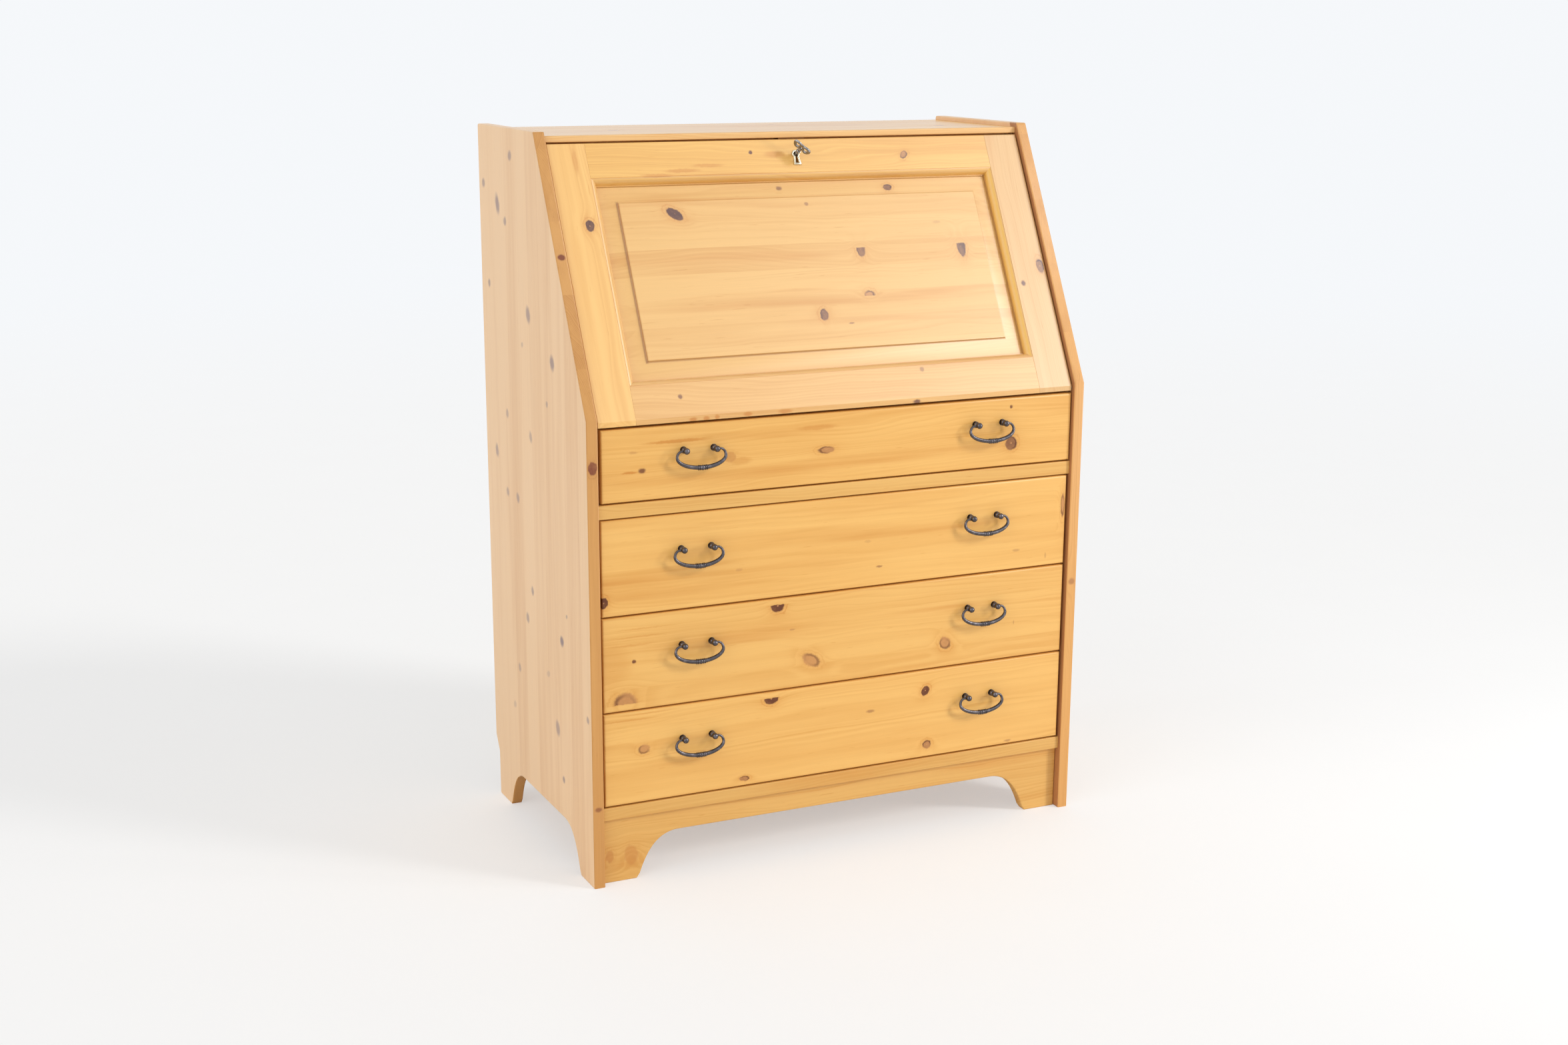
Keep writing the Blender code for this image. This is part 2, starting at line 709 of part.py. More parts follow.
def fall_cutters():
    """Shapes cut from the fall's frame: its heel, the moulded opening and the panel groove."""
    reach = 2 * FALL_T
    heel = [
        (RECESS, FALL_Z + reach),
        (RECESS, BAND_Z),
        (RECESS + 2 * reach, BAND_Z),
        (RECESS + 2 * reach, BAND_Z - reach),
        (RECESS - reach, BAND_Z - reach),
        (RECESS - reach, FALL_Z + reach),
    ]
    heel_cutter = plate("fall_heel", [heel], WIDTH, SIDE_FRAME)
    reached = STICKING_W - GAP
    over = STICKING_OVERCUT
    levels = []
    for depth in (FALL_T + over, STICKING_D, -over):
        inset = min(reached, depth * reached / STICKING_D)
        levels.append(
            (-depth, inset - OPENING_X, OPENING_X - inset, BOTTOM_RAIL_W + inset, OPENING_TOP - inset)
        )
    opening = add("fall_opening", loft_mesh("fall_opening", levels, FALL_FRAME))
    inset = STICKING_W - TONGUE_L - GROOVE_SPARE
    groove = box(
        "fall_groove",
        (inset - OPENING_X, BOTTOM_RAIL_W + inset, -(STICKING_D + TONGUE_T + GAP)),
        (OPENING_X - inset, OPENING_TOP - inset, -(STICKING_D - GAP)),
        frame=FALL_FRAME,
    )
    return heel_cutter, opening, groove


def make_fall_frame(pivot):
    """Stiles run the full height; the rails fit between them, and the moulding is mitred."""
    heel, opening, groove = fall_cutters()
    heel_s = -BAND_H
    joint = OPENING_X + GAP / 2
    tip = OPENING_X - STICKING_W + GAP / 2
    low, high = BOTTOM_RAIL_W, OPENING_TOP
    stile = [
        (FALL_HALF_W, heel_s),
        (FALL_HALF_W, FALL_L),
        (joint, FALL_L),
        (joint, high),
        (tip, high - STICKING_W),
        (tip, low + STICKING_W),
        (joint, low),
        (joint, heel_s),
    ]
    for name, hand in (("fall_left_stile", -1), ("fall_right_stile", 1)):
        outline = [(hand * x, s) for x, s in stile]
        piece = plate(name, [outline], FALL_T, FALL_FRAME, -FALL_T / 2, PINE, pivot)
        hole = rod_mesh(
            f"{name}_pin_hole",
            PIVOT + Vector((hand * (FALL_HALF_W - PIN_IN_STILE - GAP), 0, 0)),
            PIVOT + Vector((hand * (FALL_HALF_W + PIN_IN_STILE), 0, 0)),
            PIN_R + PIN_CLEAR,
        )
        for cutter in (heel, opening, groove, add(f"{name}_pin_hole", hole)):
            boolean(piece, cutter)
    end = OPENING_X - GAP / 2
    point = end - STICKING_W
    rail_high = high + GAP / 2
    rail_low = low - GAP / 2
    rails = {
        "fall_top_rail": [
            (end, FALL_L), (-end, FALL_L), (-end, rail_high), (-point, rail_high - STICKING_W),
            (point, rail_high - STICKING_W), (end, rail_high),
        ],
        "fall_bottom_rail": [
            (-end, heel_s), (end, heel_s), (end, rail_low), (point, rail_low + STICKING_W),
            (-point, rail_low + STICKING_W), (-end, rail_low),
        ],
    }
    made = {}
    for name, outline in rails.items():
        made[name] = plate(name, [outline], FALL_T, FALL_FRAME, -FALL_T / 2, PINE, pivot)
        boolean(made[name], opening)
        boolean(made[name], groove)
    boolean(made["fall_bottom_rail"], heel)
    return made["fall_top_rail"]


def make_fall_panel(pivot):
    """Raised panel: a tongue in the grooves, a sloping margin, a stepped field, and a flush back."""
    def level(depth, inset):
        inner = OPENING_X - inset
        return (-depth, -inner, inner, BOTTOM_RAIL_W + inset, OPENING_TOP - inset)

    tongue = STICKING_W - TONGUE_L
    edge = STICKING_W + GROOVE_SPARE
    levels = [
        level(FALL_T, edge),
        level(STICKING_D + TONGUE_T, edge),
        level(STICKING_D + TONGUE_T - GAP, tongue),
        level(STICKING_D + GAP, tongue),
        level(STICKING_D, edge),
        level(FIELD_D + FIELD_STEP, FIELD_MARGIN),
        level(FIELD_D, FIELD_MARGIN + GAP),
    ]
    add("fall_panel", loft_mesh("fall_panel", levels, FALL_FRAME), PINE, pivot)


def keyhole_outline(head_r, waist_w, foot_w, foot_l):
    """Round head about the key, waist below it, and a flared foot."""
    waist = math.acos(min(1.0, waist_w / 2 / head_r))
    head = arc((0.0, KEY_S), head_r, -waist, math.pi + waist, 10)
    return [*head, (-foot_w / 2, KEY_S - foot_l), (foot_w / 2, KEY_S - foot_l)]


def make_lock(top_rail, pivot):
    """Lock case let into the inner face of the top rail, its bolt, keeper, keyhole plate and key."""
    half = LOCK_W / 2
    case_low = Vector((-half, FALL_L - LOCK_H, -(LOCK_DEPTH + LOCK_T)))
    case_high = Vector((half, FALL_L - GAP, -LOCK_DEPTH))
    spare = Vector((GAP, GAP, GAP))
    pocket = box(
        "lock_pocket", case_low - spare - Vector((0, 0, LOCK_T)), case_high + spare + spare, frame=FALL_FRAME
    )
    boolean(top_rail, pocket)
    case = box("lock_case", case_low, case_high, STEEL, pivot, FALL_FRAME)
    bolt_half = BOLT_W / 2
    bolt_low = Vector((-bolt_half, FALL_L - GAP - BOLT_L, -(BOLT_DEPTH + BOLT_T)))
    bolt_high = Vector((bolt_half, FALL_L - GAP, -BOLT_DEPTH))
    room = Vector((BOLT_CLEAR, BOLT_CLEAR, BOLT_CLEAR))
    past_top = Vector((0, LOCK_H, 0))
    boolean(case, box("bolt_channel", bolt_low - room, bolt_high + room + past_top, frame=FALL_FRAME))
    bolt_slide = joint_empty("lock_bolt_slide", FALL_FRAME @ ((bolt_low + bolt_high) / 2), pivot)
    box("lock_bolt", bolt_low, bolt_high, STEEL, bolt_slide, FALL_FRAME)

    make_keeper()
    hole = rod_mesh("key_hole", (0, KEY_S, -(LOCK_DEPTH + GAP)), (0, KEY_S, FALL_T), KEY_HOLE_R)
    hole.transform(FALL_FRAME)
    boolean(top_rail, add("key_hole", hole))
    slot = box(
        "key_slot",
        (-KEY_SLOT_W / 2, KEY_S - KEY_SLOT_L, -(LOCK_DEPTH + 2 * GAP)),
        (KEY_SLOT_W / 2, KEY_S, FALL_T),
        frame=FALL_FRAME,
    )
    boolean(top_rail, slot)
    bit_depth = LOCK_DEPTH + KEY_BIT_ROOM
    room_mesh = rod_mesh(
        "key_bit_room",
        (0, KEY_S, -(bit_depth + KEY_BIT_DEPTH + KEY_BIT_ROOM)),
        (0, KEY_S, -(LOCK_DEPTH - KEY_BIT_ROOM)),
        KEY_BIT_L + KEY_BIT_ROOM,
        20,
    )
    room_mesh.transform(FALL_FRAME)
    boolean(case, add("key_bit_room", room_mesh))
    make_key(bit_depth, pivot)

    outer = keyhole_outline(PLATE_HEAD_R, PLATE_WAIST_W, PLATE_FOOT_W, PLATE_FOOT_L)
    inner = keyhole_outline(
        PLATE_HEAD_R - PLATE_RIM,
        PLATE_WAIST_W - 2 * PLATE_RIM,
        PLATE_FOOT_W - 2 * PLATE_RIM,
        PLATE_FOOT_L - PLATE_RIM,
    )
    plate("escutcheon", [outer, inner], PLATE_T, FALL_FRAME, GAP + PLATE_T / 2, BRASS, pivot)


def make_keeper():
    """Strike plate flat under the lip of the top board, notched from behind for the bolt."""
    front = FRONT + fall_plane_back(LIP_Z, 0.0) + TOP_FRONT_INSET + KEEPER_EDGE
    back = FRONT + fall_plane_back(LIP_Z - KEEPER_T - GAP, FALL_T + FALL_BACK_CLEAR) - GAP
    low = (-KEEPER_W / 2, front, LIP_Z - GAP - KEEPER_T)
    high = (KEEPER_W / 2, back, LIP_Z - GAP)
    keeper = box("strike_plate", low, high, STEEL)
    half = BOLT_W / 2 + 2 * BOLT_CLEAR
    notch = box(
        "keeper_notch",
        (-half, FALL_L, -2 * FALL_T),
        (half, FALL_L + 2 * BOLT_TRAVEL, -(BOLT_DEPTH - 2 * BOLT_CLEAR)),
        frame=FALL_FRAME,
    )
    boolean(keeper, notch)


def make_key(bit_depth, pivot):
    """Key on its axis: shank, collar, bit in the lock, and a flat bow with two eyes."""
    axis_frame = FALL_FRAME @ Matrix.Translation((0, KEY_S, 0)) @ Matrix.Rotation(KEY_TURN, 4, "Z")
    turn = joint_empty("key_turn", axis_frame.translation, pivot)
    tip = bit_depth + KEY_BIT_DEPTH + GAP
    shank = rod_mesh("key", (0, 0, -tip), (0, 0, KEY_OUT - KEY_BOW_H + KEY_BOW_ROOT), KEY_SHANK_R, 12)
    shank.transform(axis_frame)
    key = add("key", shank, STEEL, turn)
    collar_end = KEY_OUT - KEY_BOW_H - 0.5 * KEY_COLLAR_L
    collar = rod_mesh("key_collar", (0, 0, collar_end - KEY_COLLAR_L), (0, 0, collar_end), KEY_COLLAR_R, 12)
    bit = box_mesh(
        "key_bit", (-KEY_BIT_T / 2, -KEY_BIT_L, -(bit_depth + KEY_BIT_DEPTH)), (KEY_BIT_T / 2, 0, -bit_depth)
    )
    ring = [
        (KEY_BOW_W * math.cos(a), KEY_OUT + KEY_BOW_H * math.sin(a))
        for a in (2 * math.pi * i / 24 for i in range(24))
    ]
    around = 2 * math.pi * 11 / 12
    eyes = [arc((side * KEY_BOW_EYE_OUT, KEY_OUT), KEY_BOW_EYE_R, 0, around, 11) for side in (-1, 1)]
    upright = Matrix(((0, 0, 1, 0), (1, 0, 0, 0), (0, 1, 0, 0), (0, 0, 0, 1)))
    bow = plate_mesh("key_bow", [ring, *eyes], KEY_BOW_T, upright)
    for mesh in (collar, bit, bow):
        mesh.transform(axis_frame)
        boolean(key, add(f"{mesh.name}_joined", mesh), "UNION")


def stay_angle(opened):
    """Slope of a stay's bar in the side view, for how far the fall has opened, from 0 to 1."""
    return STAY_CLOSED + (STAY_OPEN - STAY_CLOSED) * opened


def stay_fall_pin(opened):
    """Place of the stay's pin on the fall, in depth and height."""
    pivot_depth = PIVOT_BACK * COS + (BAND_H - PIVOT_RISE) * SIN
    off = FALL_T - pivot_depth + STAY_STAND_OFF
    angle = math.atan2(STAY_FALL_L, off) - SLANT + OPEN_ANGLE * opened
    reach = math.hypot(STAY_FALL_L, off)
    return Vector((PIVOT.y + reach * math.cos(angle), PIVOT.z + reach * math.sin(angle)))


def stay_track_pin(opened):
    slope = stay_angle(opened)
    return stay_fall_pin(opened) + STAY_L * Vector((math.cos(slope), math.sin(slope)))


def stadium(path, half):
    """Outline at a constant distance from an open path, with round ends."""
    last = len(path) - 1
    directions = [(path[min(i + 1, last)] - path[max(i - 1, 0)]).normalized() for i in range(last + 1)]
    normals = [Vector((-d.y, d.x)) for d in directions]
    left = [p + half * n for p, n in zip(path, normals)]
    right = [p - half * n for p, n in zip(path, normals)]
    start = math.atan2(normals[0].y, normals[0].x)
    end = math.atan2(-normals[-1].y, -normals[-1].x)
    head = arc(path[0], half, start, start + math.pi, 6)[1:-1]
    tail = arc(path[-1], half, end, end + math.pi, 6)[1:-1]
    return [tuple(p) for p in (*reversed(left), *head, *right, *tail)]


def make_stays(pivot):
    """On each side: track on the side board, bar with its two pins, and bracket on the stile."""
    to_world = Matrix(((0, 0, 1, 0), (1, 0, 0, 0), (0, 1, 0, 0), (0, 0, 0, 1)))
    path = [stay_track_pin(i / TRACK_STEPS) for i in range(TRACK_STEPS + 1)]
    slot_half = STAY_PIN_R + STAY_SLOT_CLEAR
    bar_path = [stay_fall_pin(0.0), stay_track_pin(0.0)]
    across = Vector((-SIN, COS))
    for word, hand in (("left", -1), ("right", 1)):
        track_mid = hand * (FITTED - TRACK_T / 2)
        outlines = [stadium(path, TRACK_W / 2), stadium(path, slot_half)]
        plate(f"stay_track_{word}", outlines, TRACK_T, to_world, track_mid, STEEL)
        bar_mid = hand * (INNER - STAY_INSET - STAY_BAR_T / 2)
        hinge = joint_empty(f"stay_{word}_hinge", (bar_mid, *bar_path[0]), pivot)
        bar_outline = stadium(bar_path, STAY_BAR_W / 2)
        bar = plate(f"stay_bar_{word}", [bar_outline], STAY_BAR_T, to_world, bar_mid, STEEL, hinge)
        bracket_face = INNER - STAY_INSET - STAY_BAR_T - GAP
        pins = (
            (bar_path[1], INNER - STAY_INSET - STAY_BAR_T / 2, FITTED - GAP),
            (bar_path[0], bracket_face - BRACKET_W, INNER - STAY_INSET - STAY_BAR_T / 2),
        )
        for number, (place, start, end) in enumerate(pins):
            rod = rod_mesh(
                f"stay_pin_{word}_{number}", (hand * start, *place), (hand * end, *place), STAY_PIN_R, 12
            )
            boolean(bar, add(rod.name, rod), "UNION")
        pin_s = FALL_FRAME.inverted() @ Vector((0, *bar_path[0]))
        faces = sorted((hand * bracket_face, hand * (bracket_face - BRACKET_W)))
        top = FALL_T + STAY_STAND_OFF + STAY_BAR_W / 2
        bracket = box(
            f"stay_bracket_{word}",
            (faces[0], pin_s.y - BRACKET_L / 2, -top),
            (faces[1], pin_s.y + BRACKET_L / 2, -(FALL_T + GAP)),
            STEEL,
            pivot,
            FALL_FRAME,
        )
        hole = rod_mesh(
            f"stay_bracket_hole_{word}",
            (hand * (bracket_face - 2 * BRACKET_W), *bar_path[0]),
            (hand * (bracket_face + BRACKET_W), *bar_path[0]),
            STAY_PIN_R + PIN_CLEAR,
            12,
        )
        boolean(bracket, add(hole.name, hole))


def make_fall():
    pivot = joint_empty("fall_pivot", PIVOT)
    top_rail = make_fall_frame(pivot)
    make_fall_panel(pivot)
    make_lock(top_rail, pivot)
    make_stays(pivot)
    for word, hand in (("left", -1), ("right", 1)):
        pin = rod_mesh(
            f"hinge_pin_{word}",
            PIVOT + Vector((hand * (FALL_HALF_W - PIN_IN_STILE), 0, 0)),
            PIVOT + Vector((hand * (INNER + PIN_IN_SIDE), 0, 0)),
            PIN_R,
        )
        add(pin.name, pin, STEEL, pivot)


def main():
    make_sides()
    make_top_board()
    make_carcass_boards()
    make_gallery()
    make_drawers()
    make_fall()
    bpy.context.view_layer.update()


main()
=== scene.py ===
"""Looks of a pine fall-front secretary: lacquered boards, moulded fall, pewter pulls, lock and stage.

Laid out as an add-on and run as a script. Metres, +Z up, and the front faces -Y.
"""

import json
import math
from functools import wraps

import bmesh
import bpy
import numpy as np
from bpy.props import FloatProperty, FloatVectorProperty, IntProperty, PointerProperty
from mathutils import Matrix, Vector


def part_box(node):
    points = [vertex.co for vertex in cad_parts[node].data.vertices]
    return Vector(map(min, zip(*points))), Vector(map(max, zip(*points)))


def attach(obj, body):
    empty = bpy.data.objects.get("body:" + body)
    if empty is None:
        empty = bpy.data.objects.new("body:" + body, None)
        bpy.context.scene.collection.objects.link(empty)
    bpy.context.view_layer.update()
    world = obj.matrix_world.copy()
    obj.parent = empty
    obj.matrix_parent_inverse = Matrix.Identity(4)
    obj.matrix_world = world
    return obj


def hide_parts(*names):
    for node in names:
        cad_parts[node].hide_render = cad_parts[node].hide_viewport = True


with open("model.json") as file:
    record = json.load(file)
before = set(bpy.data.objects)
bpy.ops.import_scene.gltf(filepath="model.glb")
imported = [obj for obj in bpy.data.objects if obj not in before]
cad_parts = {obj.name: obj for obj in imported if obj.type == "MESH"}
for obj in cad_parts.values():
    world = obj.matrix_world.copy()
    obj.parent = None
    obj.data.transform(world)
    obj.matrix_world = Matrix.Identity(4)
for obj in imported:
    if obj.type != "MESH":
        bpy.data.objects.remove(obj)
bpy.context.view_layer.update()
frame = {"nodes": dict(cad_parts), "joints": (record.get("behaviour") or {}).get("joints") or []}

bl_info = {
    "name": "Fall-Front Secretary Looks",
    "version": (1, 0, 0),
    "blender": (4, 5, 0),
    "location": "View3D > Sidebar > Secretary",
    "description": "Dresses a packed pine secretary with boards, mouldings, pulls, lock and studio stage",
    "category": "Object",
}


def joint(name):
    """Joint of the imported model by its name."""
    return next(j for j in frame["joints"] if j["name"] == name)


def axes(first, second, third, origin):
    """4 by 4 array that takes local (first, second, third) coordinates to the model's frame."""
    made = np.eye(4)
    made[:3, 0], made[:3, 1], made[:3, 2], made[:3, 3] = first, second, third, origin
    return made


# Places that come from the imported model. FACE is the plane of the fronts, and the fall leans back from FALL_Z.
ACROSS, ALONG_DEPTH, RISING = Vector((1.0, 0.0, 0.0)), Vector((0.0, 1.0, 0.0)), Vector((0.0, 0.0, 1.0))
LEFT_LOW, LEFT_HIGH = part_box("left_side")
RIGHT_LOW, RIGHT_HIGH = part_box("right_side")
FRONT = LEFT_LOW.y
DEPTH = LEFT_HIGH.y - LEFT_LOW.y
HEIGHT = LEFT_HIGH.z
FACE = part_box("fixed_shelf")[0].y
KEY_AT = Vector(joint("key_turn")["pos_m"])
OUT = -Vector(joint("key_turn")["axis"])
SIN, COS = OUT.z, -OUT.y
UP = Vector((0.0, SIN, COS))
KEY_S = (KEY_AT.y - FACE) / SIN
FALL_Z = KEY_AT.z - KEY_S * COS
BAND_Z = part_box("fall_left_stile")[0].z
FALL_HALF_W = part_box("fall_right_stile")[1].x

# Frames of the fall, the fronts and the sections, and of the grain of the fall's stiles
FALL_FRAME = axes(ACROSS, UP, OUT, (0.0, FACE, FALL_Z))
FRONT_FRAME = axes(ACROSS, RISING, -ALONG_DEPTH, (0.0, FACE, 0.0))
PROFILE_FRAME = axes(ALONG_DEPTH, RISING, ACROSS, (0.0, FRONT, 0.0))
FALL_PROFILE = axes(UP, OUT, ACROSS, (0.0, FACE, FALL_Z))
STILE_GRAIN = axes(UP, -ACROSS, OUT, (0.0, FACE, FALL_Z))

# Side boards and plinth: depth on top, height of the bend, feet with their toes, and the notch for a skirting
TOP_DEPTH = 0.2693
BEND_Z = FALL_Z + 0.004
ARCH_RISE = 0.070
SIDE_FOOT = 0.0588
PLINTH_FOOT = 0.0565
TOE_WIDTH, TOE_HEIGHT = 0.0055, 0.0075
FOOT_REACH = 0.071
NOTCH_DEPTH, NOTCH_HEIGHT, NOTCH_EASE = 0.0165, 0.076, 0.027
NOTCH_RADII = (0.012, 0.008)
CROWN_RADIUS = 0.004

# Top board: its lip over the fall, the room behind the fall, and the mortise for the bolt
LIP_THICKNESS = 0.0098
STOP_GAP = 0.0008
BOLT_HALF_W, BOLT_REACH = 0.0112, 0.0132
BOLT_LEVELS = (-0.0197, -0.0123)

# Fall: hairline between its boards, level of the panel's back rebate, pocket of the lock, and keyholes as
# (head radius, waist, foot, length)
HAIRLINE = 0.00005
REBATE = 0.0171
LOCK_HALF_W, LOCK_DROP, LOCK_LEVEL = 0.0303, 0.0348, 0.0103
KEYHOLE_DEPTH = 0.012
KEYHOLE = (0.0038, 0.0040, 0.0078, 0.0142)
KEYHOLE_PLATE = (0.0067, 0.0096, 0.0128, 0.0182)

# Drawers and pulls
DRAWER_FRONT_T = 0.020
DRAWER_TRIM = 0.0004
POST_SPACING = 0.049

# Eases of sawn ends and of cutters, and how far a cutter reaches past a face
END_EASE, STILE_EASE, CUT_EASE = 0.0002, 0.0003, 0.0001
PAST = 0.01

# Share of an edge's radius by which the ring that keeps a flat part flat stands off it
GUARD = 0.5

# Stave width that leaves a board in one piece
ONE_STAVE = 0.4

# Area of half length times half width below which a knot is a plain fleck
SMALL_KNOT = 3.7e-5

# Angle by which the soft knots of the side boards lean back, and how much wider than listed they spread
KNOT_LEAN = 0.36
KNOT_SPREAD = 1.85

# Depth to which a knot goes in a board, and in the side boards' front edges
KNOT_DEEP, EDGE_KNOT_DEEP = 0.05, 0.0075

# Linear colours: the strike plate, painted shade in grooves, stain and painted shade beside the sides' front edges,
# hearts and rings of knots
# The strike plate is coloured as the shaded gap it sits in: painted shade
GAP_SHADE_BROWN = (0.22, 0.095, 0.035)
# Painted shade in grooves and steps, and a deeper gold where the right moulding faces away from the light
GROOVE_SHADE = (0.30, 0.10, 0.015)
SHADED_GOLD = (0.86, 0.48, 0.065)
# The front edge's stain running round onto the inner face, with painted shade beside the fall
STRIP_STAIN_AND_SHADE = (0.46, 0.200, 0.075)
EDGE_HEART = (0.215, 0.052, 0.014)
# The side boards' knot colours mix the knots' brown with painted sheen, which turns them purple grey
SIDE_HEART, SIDE_RING = (0.150, 0.100, 0.140), (0.33, 0.21, 0.20)

# Lines of painted shade across the moulding on each side of the fall, as (share of its width, reach, strength, colour)
MOULDING_SHADES = {
    "left": ((0.15, 0.0024, 0.14, GROOVE_SHADE), (0.62, 0.0050, 0.16, GROOVE_SHADE)),
    "right": (
        (0.15, 0.0022, 0.36, GROOVE_SHADE), (0.55, 0.0085, 0.80, SHADED_GOLD), (0.97, 0.0019, 0.62, GROOVE_SHADE),
    ),
    "top": (
        (0.15, 0.0018, 0.30, GROOVE_SHADE), (0.62, 0.0050, 0.24, GROOVE_SHADE), (1.0, 0.0014, 0.30, GROOVE_SHADE),
    ),
    "bottom": ((0.62, 0.0050, 0.05, GROOVE_SHADE),),
}

# Stage: surroundings, two suns with their directions and spreads in degrees, and a lamp
SURROUNDINGS = (0.955, 0.975, 1.0, 1.0)
SURROUND_LEVEL = 0.96
WORLD_LIGHT = 0.585
KEY_FROM, KEY_STRENGTH, KEY_SPREAD = (0.64, -0.585, 0.50), 0.92, 12.0
FILL_FROM, FILL_STRENGTH, FILL_SPREAD = (-0.85, -0.30, 0.40), 0.95, 60.0
LAMP_AT, LAMP_TARGET = (2.30, -1.75, 0.95), (0.0, -0.2, 0.55)
LAMP_SIZE, LAMP_POWER = 0.45, 18.0

# Floor: radius, two tones, what the camera sees added and left out, and where it turns into the surroundings
FLOOR_RADIUS, FLOOR_SIDES = 60.0, 96
FLOOR_TONES = ((0.935, 0.925, 0.905, 1.0), (0.915, 0.905, 0.885, 1.0))
FLOOR_LIFT, FLOOR_FADE = 0.43, 0.40
FLOOR_ENDS = (2.0, 8.0)

# Camera: place from the middle of the side boards' front edges, turns in radians, lens in millimetres
CAMERA_AT = (-1.4542, -2.8271, 1.2904)
CAMERA_TURN = (-0.44302, -0.26021, 0.00531)
CAMERA_LENS = 48.494
CAMERA_SHIFT = (0.00198, 0.03584)


def length(name, description, default):
    """Size in metres that a user may change."""
    return FloatProperty(name=name, description=description, default=default, unit="LENGTH")


def tint(name, description, default):
    """Linear colour that a user may change."""
    return FloatVectorProperty(
        name=name, description=description, default=default, subtype="COLOR", min=0.0, max=1.0
    )


class SecretarySizes(bpy.types.PropertyGroup):
    """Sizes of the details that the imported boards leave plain."""

    board_ease: length("Board ease", "Radius worn on the boards' edges", 0.0016)
    drawer_ease: length("Drawer ease", "Radius on the drawer fronts' edges", 0.0029)
    fall_thickness: length("Fall thickness", "Thickness of the fall's frame", 0.020)
    rail_width: length("Top rail", "Width of the fall's top rail", 0.0556)
    foot_rail_width: length("Bottom rail", "Width of the fall's bottom rail", 0.052)
    stile_width: length("Stile", "Width of the fall's stiles", 0.0595)
    key_drop: length("Key drop", "From the fall's top edge down to the key", 0.0255)
    moulding_width: length("Moulding width", "Width of the moulding round the panel", 0.0105)
    moulding_depth: length("Moulding depth", "Depth from the face to the panel's edge", 0.0125)
    field_margin: length("Panel margin", "From the moulding's outer line to the raised field", 0.0385)
    field_depth: length("Field depth", "Depth of the raised field below the face", 0.0062)
    field_step: length("Field step", "Height of the step round the field", 0.003)
    post_reach: length("Post reach", "How far a pull's post stands out of the drawer", 0.0184)
    bail_half_width: length("Bail half width", "Half the width of a bail, on its middle line", 0.0392)
    bail_drop: length("Bail drop", "How far a bail hangs below its pins", 0.0256)
    bail_bow: length("Bail bow", "How far a bail's middle stands forward of its pins", 0.0055)
    curve_steps: IntProperty(
        name="Curve steps", description="Steps in a foot's curve", default=28, min=6, max=80
    )


class SecretaryColours(bpy.types.PropertyGroup):
    """Colours of the finishes, as linear values."""

    honey_light: tint("Honey, early wood", "Pale part of the lacquered front boards' rings", (0.87, 0.495, 0.140))
    honey_dark: tint("Honey, late wood", "Dark part of the lacquered front boards' rings", (0.69, 0.305, 0.050))
    honey_stain: tint("Honey, amber", "Deeper amber of stained streaks and round knots", (0.62, 0.235, 0.028))
    side_light: tint("Side, early wood", "Pale part of the side boards' rings", (0.905, 0.602, 0.338))
    side_dark: tint("Side, late wood", "Dark part of the side boards' rings", (0.775, 0.450, 0.215))
    edge_light: tint("Edge, early wood", "Pale part of the side boards' amber edges", (0.66, 0.33, 0.095))
    edge_dark: tint("Edge, late wood", "Dark part of the side boards' amber edges", (0.48, 0.20, 0.045))
    bare_light: tint("Bare pine", "Unfinished pine inside the desk", (0.78, 0.56, 0.30))
    bare_dark: tint("Bare pine rings", "Late wood of the unfinished pine", (0.62, 0.39, 0.17))
    ply_light: tint("Plywood", "Face of the plywood back and drawer bottoms", (0.76, 0.56, 0.32))
    ply_dark: tint("Plywood figure", "Darker figure of the plywood", (0.64, 0.43, 0.22))
    knot_heart: tint("Knot heart", "Darkest wood of a knot", (0.125, 0.029, 0.003))
    fall_heart: tint(
        "Fall's knot heart", "Darkest wood of a knot under the fall's thicker lacquer", (0.080, 0.013, 0.003)
    )
    knot_ring: tint("Knot ring", "Lighter rings of a knot", (0.55, 0.245, 0.078))
    pewter: tint("Pewter", "Dark metal of the pulls", (0.100, 0.091, 0.098))
    steel: tint("Steel", "Plated metal of the key, lock and stays", (0.30, 0.29, 0.29))
    brass: tint("Pale brass", "Metal of the keyhole plate", (0.62, 0.56, 0.42))


